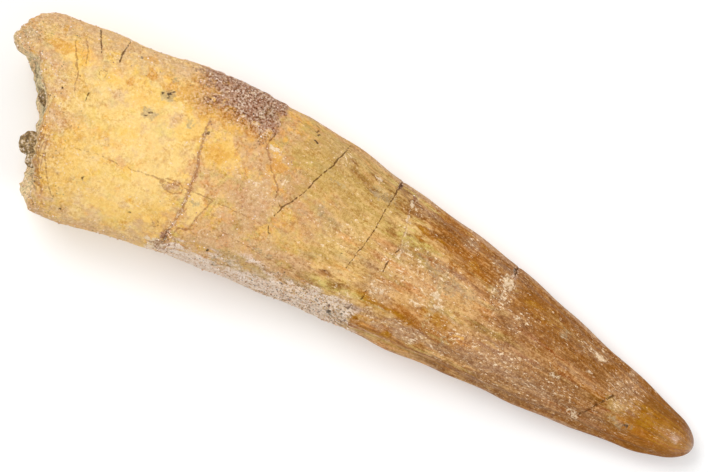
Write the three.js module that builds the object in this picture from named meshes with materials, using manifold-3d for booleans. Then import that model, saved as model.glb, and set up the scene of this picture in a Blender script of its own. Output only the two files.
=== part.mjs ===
// Fossil tooth of a spinosaur, lying on its side.
//
// Two pieces: the tooth, whose root and crown grew as one, and the sandstone that set inside its broken
// pulp cavity. Units are millimetres, +Z is up. +X runs from the broken root to the tip, +Y points to the
// convex cutting edge, and the tooth rests on the flat worn into its underside, at Z = 0. The origin is
// the centre of the tooth's footprint.
//
// An angle round the tooth starts at the convex edge: 0 is +Y, 90 the upper face, 180 the concave edge
// and 270 the underside.

import * as THREE from "three";
import { mergeVertices } from "three/addons/utils/BufferGeometryUtils.js";
import Module from "manifold-3d";

const wasm = await Module();
wasm.setup();

// ---------------------------------------------------------------- driving dimensions

const TIP_X = 50; // the tip, half of the 100 mm length
const TIP_ROUND = 3.2; // length of the worn, rounded tip
const SQUARENESS = 2.2; // 2 is an oval section, more is boxier

// Each outline is a smooth curve through points, [x, height], before the tip is rounded off.
const CONVEX_EDGE = curveThrough([
  [-50, 9.9], [-45.5, 10.8], [-40, 11.35], [-32, 12.05], [-26, 12.95], [-13, 13.5], [-6.5, 12.7],
  [0, 11.1], [10, 9.75], [20, 8.0], [28, 6.1], [36, 3.5], [43, 1.6], [50, 0.2],
]);
const CONCAVE_EDGE = curveThrough([
  [-50, -13.0], [-38, -13.2], [-31, -12.0], [-26, -11.15], [-18, -10.3], [-10, -9.5], [0, -8.7],
  [10, -7.75], [20, -7.3], [30, -6.6], [40, -5.5], [50, -4.2],
]);
const UPPER_FACE = curveThrough([
  [-50, 18.6], [-40, 19.2], [-25, 19.0], [-10, 17.7], [5, 15.6], [20, 12.9],
  [32, 10.3], [42, 7.8], [50, 6.0],
]);
const UNDERSIDE = curveThrough([
  [-50, 0.6], [-38, -0.25], [-20, -0.4], [10, -0.4], [25, -0.25], [38, 0.25], [50, 0.9],
]);

// Where the root is broken off, [angle, x]: it stands out in a lug beside the convex edge and is bitten
// back in the middle, further on the upper face than on the underside.
const BROKEN_RIM = loopThrough([
  [0, -47.3], [15, -48.4], [30, -49.3], [43, -49.7], [53, -50.0], [58, -48.6], [63, -45.7], [74, -44.1],
  [82, -42.9], [90, -41.9], [108, -41.1], [125, -40.2], [145, -38.9], [180, -38.9], [196, -39.7], [208, -40.6],
  [230, -41.0], [244, -42.0], [263, -42.5], [273, -43.9], [285, -45.6], [293, -46.8], [303, -48.3], [325, -48.0],
]);
const RIM_ROLL = 1.4; // how far back from the rim its outer edge is worn round
const RIM_INSET = 0.95; // and how far in
const RIM_RAGGED = 0.25;
const RIM_HOLLOW = 0.5; // how far the wall's inner edge lies behind its outer one
const WALL = 2.7; // thickness of the root's wall at the rim

// The open end of the pulp cavity, and the sandstone in it. Each narrows from the mouth to the floor:
// [share of the depth, mm in from the wall at the rim].
const CAVITY_FLOOR_X = -34;
const CAVITY_FLOOR_ROUND = 0.8;
const CAVITY_NARROWS = [[0, 0], [0.45, 0.2], [0.85, 0.7], [1, 2.4]];
const FILL_NARROWS = [[0.97, 2.8], [0.8, 1.0], [0.42, 0.45], [0, 0.15]];
const FILL_CLEARANCE = 0.3; // between the sandstone and the cavity wall
const FILL_RECESS = 0.45; // how far the sandstone lies below the wall's inner edge
const FILL_FRONT_X = -45.9; // it has crumbled away behind the lug, back to here
const FILL_BULGE = 1.2; // how much it swells between its edge and its centre

// Lumps of cemented sand on the sandstone, [x, y, z, radius].
const NODULES = [
  [-42.0, -5.6, 6.8, 1.55], [-40.7, -7.3, 7.9, 1.1], [-45.0, 4.4, 7.0, 1.4], [-42.6, 0.6, 12.6, 1.2],
];

// Surface forms: heights and depths are in mm, widths in degrees round the tooth.
const KEEL = { height: 0.45, width: 9, fadeX: 42, endX: 49 }; // the cutting edges stand out
const CONVEX_KEEL = { angle: 0, startX: -14, fullX: 0 };
const CONCAVE_KEEL = { angle: 180, startX: 4, fullX: 12 };
const FLUTES = { count: 12, depth: 0.14, startX: -16, fullX: 2, fadeX: 43, endX: 48 };
const SWELLS = [
  { height: 0.16, perMm: 0.17, lobes: 2, start: 0.7 },
  { height: 0.1, perMm: 0.31, lobes: -3, start: 2.1 },
  { height: 0.07, perMm: 0.73, lobes: 5, start: 4.0 },
];
const ROOT_GRAIN = { height: 0.1, endX: -18, fullX: -30 };
// Enamel has flaked off beside the concave edge, with a sharp step at the far end.
const ENAMEL_LOSS = { fromX: -20, toX: 3.9, stepLength: 0.3, fromAngle: 141, toAngle: 178, edge: 8, depth: 0.35 };
const CRUST = { x: -20.5, reach: 8, angle: 34, width: 24, height: 0.45 }; // rough patch by the convex edge
const CRACK = { width: 0.5, depth: 0.7, uneven: 0.4, step: 1.5 };
const CUTTER_TOP = 0.5; // how far a crack's cutter stands out of the skin, and less at its ends
const CUTTER_END = 0.3;

// Cracks, each a list of [x, y], on the upper face or the underside.
const UPPER_CRACKS = [
  [[-22.9, 6.1], [-22.4, 4.1], [-21.6, 0.4], [-21.2, -3.2], [-21.3, -7.5], [-21.4, -9.4]],
  [[-15.4, 10.6], [-15.2, 8.6], [-13.8, 6.2], [-11.5, 4.1], [-11.4, 2.8]],
  [[-5.9, 11.4], [-6.8, 8.6], [-8.4, 4.7], [-10.1, 1.0], [-9.9, -2.8]],
  [[2.2, 11.8], [2.5, 9.1], [2.0, 5.1], [1.2, 1.2], [1.0, -2.6]],
  [[4.6, 9.6], [4.5, 7.7], [5.4, 3.5], [5.3, 0.0]],
  [[20.3, 8.7], [19.8, 7.0], [20.4, 5.2]],
  [[37.1, -1.3], [35.8, -3.5], [34.5, -5.6]],
  [[-40.4, 10.6], [-38.9, 8.4]],
  [[-36.9, -3.4], [-30.1, -2.7], [-22.8, -2.3]],
];
const UNDERSIDE_CRACKS = [
  [[-22.4, 8.9], [-21.0, 3.5], [-20.2, -2.0], [-21.2, -7.6]],
  [[2.2, 11.2], [3.4, 6.2], [2.4, 0.8]],
  [[-9.0, -7.4], [-7.2, -2.5], [-7.9, 3.1]],
  [[19.9, 8.0], [20.8, 3.4], [19.6, -3.6]],
];

// Shallow pits on the root, [x, y, radius].
const PITS = [[-37.5, 6.4, 1.1], [-33.8, 7.3, 1.2], [-32.0, 9.2, 1.0], [-29.1, 8.3, 1.2], [-24.4, -6.9, 0.9]];
const PIT_DEPTH = 0.35;

// ---------------------------------------------------------------- mesh fineness

const AROUND = 4 * FLUTES.count; // points round each ring, four to a flute
const CAP_ROWS = 6;
const BODY_ROWS = 42;
const BODY_END_X = -31; // rings lie square to X up to here, then slant to meet the broken rim
const ROOT_ROWS = 7;
const ROLL_ROWS = 3;
const FACE_ROWS = 4;

// ---------------------------------------------------------------- curves

// A smooth curve through [x, y] points: a cubic between each two, with the slope of its neighbours.
function curveThrough(points) {
  const slope = points.map((_, i) => {
    const before = points[Math.max(i - 1, 0)];
    const after = points[Math.min(i + 1, points.length - 1)];
    return (after[1] - before[1]) / (after[0] - before[0]);
  });
  return (x) => {
    const found = points.findIndex((point) => point[0] >= x);
    const i = Math.min(Math.max(found < 0 ? points.length - 1 : found, 1), points.length - 1);
    const [x0, y0] = points[i - 1];
    const [x1, y1] = points[i];
    const span = x1 - x0;
    const t = THREE.MathUtils.clamp((x - x0) / span, 0, 1);
    const ease = t * t * (3 - 2 * t);
    return y0 + (y1 - y0) * ease + span * (slope[i - 1] * t * (1 - t) ** 2 - slope[i] * t * t * (1 - t));
  };
}

// The same, for [angle, value] points that come back to the start after 360 degrees.
function loopThrough(points) {
  const turned = (by) => points.map(([angle, value]) => [angle + by, value]);
  const curve = curveThrough([...turned(-360), ...points, ...turned(360)]);
  return (angle) => curve(((angle % 360) + 360) % 360);
}

// Steps smoothly from 0 at one value to 1 at another.
function step(from, to, value) {
  return THREE.MathUtils.smoothstep(value, from, to);
}

function lerp(from, to, share) {
  return THREE.MathUtils.lerp(from, to, share);
}

// Degrees between two angles, 0 to 180.
function angleBetween(a, b) {
  const apart = (((a - b) % 360) + 360) % 360;
  return Math.min(apart, 360 - apart);
}

function bump(distance, width) {
  return Math.exp(-((distance / width) ** 2));
}

// A repeatable number from -1 to 1 for a place.
function roughness(a, b) {
  const value = Math.sin(a * 12.9898 + b * 78.233) * 43758.5453;
  return 2 * (value - Math.floor(value)) - 1;
}

// ---------------------------------------------------------------- the tooth's surface

function keelRelief({ angle: keelAngle, startX, fullX }, x, angle) {
  return KEEL.height * bump(angleBetween(angle, keelAngle), KEEL.width) * step(startX, fullX, x);
}

function enamelLoss(x, angle) {
  const { fromX, toX, stepLength, fromAngle, toAngle, edge, depth } = ENAMEL_LOSS;
  const along = step(fromX - 2, fromX + 2, x) * (1 - step(toX - stepLength, toX + stepLength, x));
  const around = step(fromAngle - edge, fromAngle, angle) * (1 - step(toAngle - edge, toAngle + edge, angle));
  return depth * along * around;
}

// How far the real surface stands out from the smooth oval.
function relief(x, angle) {
  const turn = THREE.MathUtils.degToRad(angle);
  const keels = keelRelief(CONVEX_KEEL, x, angle) + keelRelief(CONCAVE_KEEL, x, angle);
  const crown = step(FLUTES.startX, FLUTES.fullX, x) * (1 - step(FLUTES.fadeX, FLUTES.endX, x));
  const flutes = FLUTES.depth * crown * (Math.cos(FLUTES.count * turn) - 0.5);
  const swell = SWELLS.reduce((sum, { height, perMm, lobes, start }) => {
    return sum + height * Math.sin(perMm * x + lobes * turn + start);
  }, 0);
  const onCrust = bump(x - CRUST.x, CRUST.reach) * bump(angleBetween(angle, CRUST.angle), CRUST.width);
  const crust = CRUST.height * onCrust * (0.5 + 0.5 * roughness(x, angle));
  const grain = ROOT_GRAIN.height * (1 - step(ROOT_GRAIN.fullX, ROOT_GRAIN.endX, x)) * roughness(x + 3, angle);
  const fade = 1 - step(KEEL.fadeX, KEEL.endX, x);
  return (keels + swell) * fade + flutes - enamelLoss(x, angle) + crust + grain;
}

// The smooth oval section at an x: its middle, and half its width and depth.
function section(x) {
  const [convex, concave, top, bottom] = [CONVEX_EDGE, CONCAVE_EDGE, UPPER_FACE, UNDERSIDE].map((edge) => edge(x));
  return {
    middle: new THREE.Vector3(x, (convex + concave) / 2, (top + bottom) / 2),
    halfWidth: (convex - concave) / 2,
    halfDepth: (top - bottom) / 2,
  };
}

// The point of the skin at an x and an angle. Inset goes in under the skin, and tip is the share of the
// full section that is left where the tip is rounded. Nothing reaches below the flat underside.
function skinPoint(x, angle, { inset = 0, tip = 1 } = {}) {
  const { middle, halfWidth, halfDepth } = section(x);
  const turn = THREE.MathUtils.degToRad(angle);
  const across = Math.sign(Math.cos(turn)) * Math.abs(Math.cos(turn)) ** (2 / SQUARENESS);
  const up = Math.sign(Math.sin(turn)) * Math.abs(Math.sin(turn)) ** (2 / SQUARENESS);
  const outward = new THREE.Vector2(across * halfDepth, up * halfWidth).normalize();
  const out = relief(x, angle) * tip - inset;
  const y = middle.y + across * halfWidth * tip + outward.x * out;
  const z = middle.z + up * halfDepth * tip + outward.y * out;
  return new THREE.Vector3(x, y, Math.max(z, inset));
}

// The angle at which a face of the tooth passes over [x, y].
function angleAt(x, y, isUpper) {
  const { middle, halfWidth } = section(x);
  const across = THREE.MathUtils.clamp((y - middle.y) / halfWidth, -1, 1);
  const cosine = Math.sign(across) * Math.abs(across) ** (SQUARENESS / 2);
  const angle = THREE.MathUtils.radToDeg(Math.acos(cosine));
  return isUpper ? angle : 360 - angle;
}

function skinNormal(x, angle) {
  const along = skinPoint(x + 0.4, angle).sub(skinPoint(x - 0.4, angle));
  const around = skinPoint(x, angle + 2).sub(skinPoint(x, angle - 2));
  return around.cross(along).normalize();
}

function ring(pointAt) {
  return Array.from({ length: AROUND }, (_, i) => pointAt((360 * i) / AROUND));
}

// Rings down a wall that narrows between a mouth, an x for each angle, and the cavity floor.
function wallRings(mouth, narrows, clearance = 0) {
  return narrows.map(([depth, narrowing]) => {
    const inset = WALL + narrowing + clearance;
    return ring((angle) => skinPoint(lerp(mouth(angle), CAVITY_FLOOR_X, depth), angle, { inset }));
  });
}

// ---------------------------------------------------------------- closed meshes

// Joins rings of points into a closed skin, from a point before the first ring to one after the last.
// Each ring turns right-handed about the direction back to the start.
function loft(start, rings, end) {
  const count = rings[0].length;
  const points = [start, ...rings.flat(), end];
  const index = [];
  const at = (row, i) => 1 + row * count + (i % count);
  for (let i = 0; i < count; i += 1) {
    index.push(0, at(0, i), at(0, i + 1));
    for (let row = 1; row < rings.length; row += 1) {
      index.push(at(row - 1, i), at(row, i), at(row, i + 1));
      index.push(at(row - 1, i), at(row, i + 1), at(row - 1, i + 1));
    }
    index.push(at(rings.length - 1, i), points.length - 1, at(rings.length - 1, i + 1));
  }
  return new THREE.BufferGeometry().setFromPoints(points).setIndex(index);
}

// The bare shape, with the vertices that lie on each other merged.
function mergedShape(geometry) {
  const bare = geometry.clone();
  bare.deleteAttribute("normal");
  bare.deleteAttribute("uv");
  return mergeVertices(bare, 1e-4);
}

function solidOf(geometry) {
  const merged = mergedShape(geometry);
  return new wasm.Manifold(
    new wasm.Mesh({
      numProp: 3,
      vertProperties: merged.attributes.position.array,
      triVerts: new Uint32Array(merged.index.array),
    }),
  );
}

function geometryOf(solid) {
  const mesh = solid.getMesh();
  const geometry = new THREE.BufferGeometry();
  geometry.setAttribute("position", new THREE.BufferAttribute(new Float32Array(mesh.vertProperties), 3));
  geometry.setIndex(new THREE.BufferAttribute(new Uint32Array(mesh.triVerts), 1));
  geometry.computeVertexNormals();
  return geometry;
}

// ---------------------------------------------------------------- tooth

function rimMouth(angle) {
  return BROKEN_RIM(angle) + RIM_HOLLOW;
}

function toothSkin() {
  const rings = [];
  for (let i = 1; i <= CAP_ROWS; i += 1) {
    const turn = (Math.PI / 2) * (1 - i / CAP_ROWS);
    const x = TIP_X - TIP_ROUND * (1 - Math.sin(turn));
    rings.push(ring((angle) => skinPoint(x, angle, { tip: Math.cos(turn) })));
  }
  for (let i = 1; i <= BODY_ROWS; i += 1) {
    const x = lerp(TIP_X - TIP_ROUND, BODY_END_X, i / BODY_ROWS);
    rings.push(ring((angle) => skinPoint(x, angle)));
  }
  for (let i = 1; i <= ROOT_ROWS; i += 1) {
    rings.push(ring((angle) => skinPoint(lerp(BODY_END_X, BROKEN_RIM(angle) + RIM_ROLL, i / ROOT_ROWS), angle)));
  }
  for (let i = 1; i <= ROLL_ROWS; i += 1) {
    const turn = (Math.PI / 2) * (i / ROLL_ROWS);
    const back = RIM_ROLL * (1 - Math.sin(turn));
    const inset = RIM_INSET * (1 - Math.cos(turn));
    const ragged = (angle) => RIM_RAGGED * roughness(i, angle);
    rings.push(ring((angle) => skinPoint(BROKEN_RIM(angle) + back + ragged(angle), angle, { inset })));
  }
  rings.push(...wallRings(rimMouth, CAVITY_NARROWS));
  const floor = section(CAVITY_FLOOR_X + CAVITY_FLOOR_ROUND).middle;
  return loft(section(TIP_X).middle, rings, floor);
}

// A wedge that follows a path over the skin, to cut a crack with. It tapers to a point at both ends.
function crackWedge(path, isUpper) {
  const bends = new THREE.CatmullRomCurve3(path.map(([x, y]) => new THREE.Vector3(x, y, 0)));
  const steps = Math.ceil(bends.getLength() / CRACK.step);
  const places = bends.getSpacedPoints(steps).map(({ x, y }) => {
    const angle = angleAt(x, y, isUpper);
    return { point: skinPoint(x, angle), normal: skinNormal(x, angle) };
  });
  const flare = (CRACK.depth + CUTTER_TOP) / CRACK.depth;
  const rings = places.slice(1, -1).map(({ point, normal }, i) => {
    const ahead = places[i + 2].point.clone().sub(places[i].point);
    const side = normal.clone().cross(ahead).normalize();
    const reach = (CRACK.width / 2) * flare * (1 + CRACK.uneven * roughness(i, path[0][0]));
    const top = point.clone().addScaledVector(normal, CUTTER_TOP);
    return [
      top.clone().addScaledVector(side, reach),
      point.clone().addScaledVector(normal, -CRACK.depth),
      top.clone().addScaledVector(side, -reach),
    ];
  });
  const ends = [places[0], places.at(-1)].map(({ point, normal }) => {
    return point.clone().addScaledVector(normal, CUTTER_END);
  });
  return loft(ends[0], rings, ends[1]);
}

// A ball that dips into the upper face, to cut a shallow round pit with.
function pitBall([x, y, radius]) {
  const angle = angleAt(x, y, true);
  const ball = (radius ** 2 + PIT_DEPTH ** 2) / (2 * PIT_DEPTH);
  const centre = skinPoint(x, angle).addScaledVector(skinNormal(x, angle), ball - PIT_DEPTH);
  return new THREE.IcosahedronGeometry(ball, 4).translate(...centre);
}

function toothGeometry() {
  const cutters = [
    ...UPPER_CRACKS.map((path) => crackWedge(path, true)),
    ...UNDERSIDE_CRACKS.map((path) => crackWedge(path, false)),
    ...PITS.map(pitBall),
  ];
  return geometryOf(cutters.reduce((solid, cutter) => solid.subtract(solidOf(cutter)), solidOf(toothSkin())));
}

// ---------------------------------------------------------------- sandstone in the pulp cavity

// The lumpiness of the sandstone's broken face, part of the way from its edge to its centre.
function faceLump({ y, z }, share) {
  const bulge = FILL_BULGE * share * (1 - share);
  const lump = 0.3 * Math.sin(1.3 * y + 9 * share) * Math.sin(1.1 * z + 2) + 0.2 * Math.sin(2.3 * y - 1.9 * z);
  return new THREE.Vector3(lump * share - bulge, 0, 0);
}

function fillBody() {
  const mouth = (angle) => Math.max(rimMouth(angle) + FILL_RECESS, FILL_FRONT_X);
  const rings = wallRings(mouth, FILL_NARROWS, FILL_CLEARANCE);
  const edge = rings.at(-1);
  const centre = edge.reduce((sum, point) => sum.add(point), new THREE.Vector3()).divideScalar(AROUND);
  for (let row = 1; row < FACE_ROWS; row += 1) {
    const share = row / FACE_ROWS;
    rings.push(edge.map((point) => point.clone().lerp(centre, share).add(faceLump(point, share))));
  }
  return loft(section(CAVITY_FLOOR_X - FILL_CLEARANCE).middle, rings, centre);
}

function nodule([x, y, z, radius]) {
  const ball = mergedShape(new THREE.IcosahedronGeometry(radius, 2));
  const place = ball.attributes.position;
  for (let i = 0; i < place.count; i += 1) {
    const point = new THREE.Vector3().fromBufferAttribute(place, i);
    point.multiplyScalar(1 + 0.1 * roughness(point.x + x, point.y + point.z));
    place.setXYZ(i, x + point.x, y + point.y, z + point.z);
  }
  return ball;
}

function fillGeometry() {
  return geometryOf(NODULES.reduce((solid, lump) => solid.add(solidOf(nodule(lump))), solidOf(fillBody())));
}

// ---------------------------------------------------------------- the fossil

const enamel = new THREE.MeshStandardMaterial({ color: 0xc48f45, roughness: 0.45, metalness: 0 });
const sandstone = new THREE.MeshStandardMaterial({ color: 0x8a8468, roughness: 0.95, metalness: 0 });

const tooth = new THREE.Mesh(toothGeometry(), enamel);
tooth.name = "tooth";

const cavityFill = new THREE.Mesh(fillGeometry(), sandstone);
cavityFill.name = "cavity_fill";

const fossil = new THREE.Group();
fossil.add(tooth, cavityFill);

// Puts the origin under the centre of the whole, on the surface that it rests on.
const box = new THREE.Box3().setFromObject(fossil);
const middle = box.getCenter(new THREE.Vector3());
fossil.position.set(-middle.x, -middle.y, -box.min.z);

export default fossil;
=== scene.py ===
"""Fossil tooth of a spinosaur, lying on its side, with sandstone in its broken pulp cavity.

Shapes are worked out in millimetres. +X runs from the broken root to the tip, +Y points to the convex
cutting edge and +Z is up. An angle round the tooth starts at the convex edge: 0 is +Y, 90 the upper
face, 180 the concave edge and 270 the underside. Places on a face are [x, y] as seen from above, and v
is the share of the way from the middle line to an edge: -1 is the concave edge and 1 the convex one.
"""

import itertools
import math

import bmesh
import bpy
import numpy as np
from bpy.props import FloatProperty, FloatVectorProperty, IntProperty, PointerProperty
from mathutils import Matrix, Vector


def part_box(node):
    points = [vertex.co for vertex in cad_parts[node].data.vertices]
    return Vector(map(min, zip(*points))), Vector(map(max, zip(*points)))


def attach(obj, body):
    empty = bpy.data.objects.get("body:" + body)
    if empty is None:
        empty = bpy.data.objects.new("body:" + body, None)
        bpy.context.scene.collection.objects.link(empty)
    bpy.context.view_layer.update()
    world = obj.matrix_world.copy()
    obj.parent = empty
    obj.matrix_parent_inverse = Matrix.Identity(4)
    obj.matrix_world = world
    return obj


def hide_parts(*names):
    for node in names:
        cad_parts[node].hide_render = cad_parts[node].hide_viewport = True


bl_info = {
    "name": "Spinosaur tooth",
    "version": (1, 0, 0),
    "blender": (4, 5, 0),
    "location": "3D View > Sidebar > Fossil",
    "description": "Builds a fossil spinosaur tooth with sandstone in its broken root",
    "category": "Add Mesh",
}

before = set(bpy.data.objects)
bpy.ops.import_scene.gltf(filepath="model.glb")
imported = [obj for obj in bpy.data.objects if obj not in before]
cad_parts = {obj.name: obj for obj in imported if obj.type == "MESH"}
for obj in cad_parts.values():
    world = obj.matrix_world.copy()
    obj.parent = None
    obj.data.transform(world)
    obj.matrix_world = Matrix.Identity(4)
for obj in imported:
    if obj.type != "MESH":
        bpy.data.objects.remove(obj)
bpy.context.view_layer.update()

MM = 0.001


# ---------------------------------------------------------------- curves and numbers


def curve_through(points):
    """A smooth curve through [x, value] points: a cubic between each two, with its neighbours' slope."""
    xs, values = np.array(points, float).T
    order = np.arange(len(xs))
    before = np.maximum(order - 1, 0)
    after = np.minimum(order + 1, len(xs) - 1)
    slopes = (values[after] - values[before]) / (xs[after] - xs[before])

    def at(x):
        i = np.clip(np.searchsorted(xs, x), 1, len(xs) - 1)
        span = xs[i] - xs[i - 1]
        t = np.clip((x - xs[i - 1]) / span, 0, 1)
        ease = t * t * (3 - 2 * t)
        bend = slopes[i - 1] * t * (1 - t) ** 2 - slopes[i] * t * t * (1 - t)
        return values[i - 1] + (values[i] - values[i - 1]) * ease + span * bend

    return at


def loop_through(points):
    """The same, for [angle, value] points that come back to the start after 360 degrees."""
    curve = curve_through([[angle + turn, value] for turn in (-360, 0, 360) for angle, value in points])
    return lambda angle: curve(np.mod(angle, 360))


def step(start, end, value):
    """Rises smoothly from 0 at start to 1 at end."""
    t = np.clip((value - start) / (end - start), 0, 1)
    return t * t * (3 - 2 * t)


def swell(distance, width):
    return np.exp(-((distance / width) ** 2))


def angle_between(a, b):
    """Degrees between two angles, 0 to 180."""
    apart = np.mod(a - b, 360)
    return np.minimum(apart, 360 - apart)


def spaced(start, end, count, density):
    """Values from start to end that lie closer together where the density is high."""
    fine = np.linspace(start, end, 4000)
    total = np.concatenate([[0], np.cumsum(density((fine[1:] + fine[:-1]) / 2))])
    return np.interp(np.linspace(0, total[-1], count), total, fine)


def noise(points, size, seed, octaves):
    """Repeatable smooth noise, about -1 to 1, that varies over the given size. Points are (..., 3)."""
    total = np.zeros(points.shape[:-1])
    strength = 1.0
    for octave in range(octaves):
        place = points / size * 2**octave + 17.3 * (seed + octave)
        cell = np.floor(place)
        part = place - cell
        part = part * part * (3 - 2 * part)
        for corner in itertools.product((0, 1), repeat=3):
            share = np.prod(np.where(corner, part, 1 - part), axis=-1)
            value = np.sin((cell + corner) @ (12.9898, 78.233, 37.719)) * 43758.5453
            total += strength * share * (2 * (value - np.floor(value)) - 1)
        strength *= 0.5
    return total


# ---------------------------------------------------------------- the form of the tooth, in mm

TIP_X = 50
TIP_ROUND = 3.2
SQUARENESS = 2.2
CONVEX_EDGE = curve_through([
    [-50, 9.9], [-45.5, 10.8], [-40, 11.35], [-32, 12.05], [-26, 12.95], [-13, 13.5], [-6.5, 12.7],
    [0, 11.1], [10, 9.75], [20, 8.0], [28, 6.1], [36, 3.5], [43, 1.6], [50, 0.2],
])
CONCAVE_EDGE = curve_through([
    [-50, -13.0], [-38, -13.2], [-31, -12.0], [-26, -11.15], [-18, -10.3], [-10, -9.5], [0, -8.7],
    [10, -7.75], [20, -7.3], [30, -6.6], [40, -5.5], [50, -4.2],
])
UPPER_FACE = curve_through([
    [-50, 18.6], [-40, 19.2], [-25, 19.0], [-10, 17.7], [5, 15.6], [20, 12.9],
    [32, 10.3], [42, 7.8], [50, 6.0],
])
UNDERSIDE = curve_through([
    [-50, 0.6], [-38, -0.25], [-20, -0.4], [10, -0.4], [25, -0.25], [38, 0.25], [50, 0.9],
])
BROKEN_RIM = loop_through([
    [0, -47.3], [15, -48.4], [30, -49.3], [43, -49.5], [53, -49.4], [58, -48.6], [63, -45.7],
    [74, -44.1], [82, -42.9], [90, -41.9], [108, -41.1], [125, -40.2], [145, -38.9], [180, -38.9],
    [196, -39.7], [208, -40.6], [230, -41.0], [244, -42.0], [263, -42.5], [273, -43.9], [285, -45.6],
    [293, -46.8], [303, -48.3], [325, -48.0],
])
RIM_ROLL = 1.4
RIM_INSET = 0.95
RIM_RAGGED = 0.32
RIM_HOLLOW = 0.5
WALL = 2.7
CAVITY_FLOOR_X = -34
CAVITY_FLOOR_ROUND = 0.8
CAVITY_NARROWS = [[0, 0], [0.45, 0.2], [0.85, 0.7], [1, 2.4]]
FILL_NARROWS = [[0, 0.15], [0.42, 0.45], [0.8, 1.0], [0.97, 2.8]]
FILL_CLEARANCE = 0.3
FILL_RECESS = 0.45
FILL_FRONT_X = -45.9
FILL_BULGE = 1.2
NODULES = [
    [-42.0, -5.6, 6.8, 1.55], [-40.7, -7.3, 7.9, 1.1], [-45.0, 4.4, 7.0, 1.4], [-42.6, 0.6, 12.6, 1.2],
]
KEEL = {"height": 0.45, "width": 9, "fade_x": 42, "end_x": 49}
KEELS = [{"angle": 0, "start_x": -14, "full_x": 0}, {"angle": 180, "start_x": 4, "full_x": 12}]
FLUTES = {"count": 12, "depth": 0.14, "start_x": -16, "full_x": 2, "fade_x": 43, "end_x": 48}
SWELLS = [[0.16, 0.17, 2, 0.7], [0.1, 0.31, -3, 2.1], [0.07, 0.73, 5, 4.0]]  # height, per mm, lobes, start
ENAMEL_LOSS = {"from_x": -20, "to_x": 3.9, "step": 0.3, "from": 141, "to": 178, "edge": 8, "depth": 0.35}
CRUST_END_X = -15  # the gritty crust by the convex edge stops short here
PITS = [[-37.5, 6.4, 1.1], [-33.8, 7.3, 1.2], [-32.0, 9.2, 1.0], [-29.1, 8.3, 1.2], [-24.4, -6.9, 0.9]]
PIT_DEPTH = 0.35
SOLID_COLUMNS = 48  # round the plain solid, which has no finer forms than these

# The grid of the fine mesh.
COLUMNS = 226
UPPER_DENSITY = 1.7  # columns on the upper face for each one on the underside
CAP_ROWS = 14
BODY_ROWS = 330
BODY_END_X = -31
ROOT_ROWS = 48
ROLL_ROWS = 7
BREAK_ROWS = 8
CAVITY_ROWS = 12
FINE_STRETCHES = [[-24, -20.5], [-15.6, -5.6], [0.3, 5.9], [19, 21], [34.6, 37.9]]  # rows closer here
FINE_DENSITY = 1.7

# ---------------------------------------------------------------- markings, in mm

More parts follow.
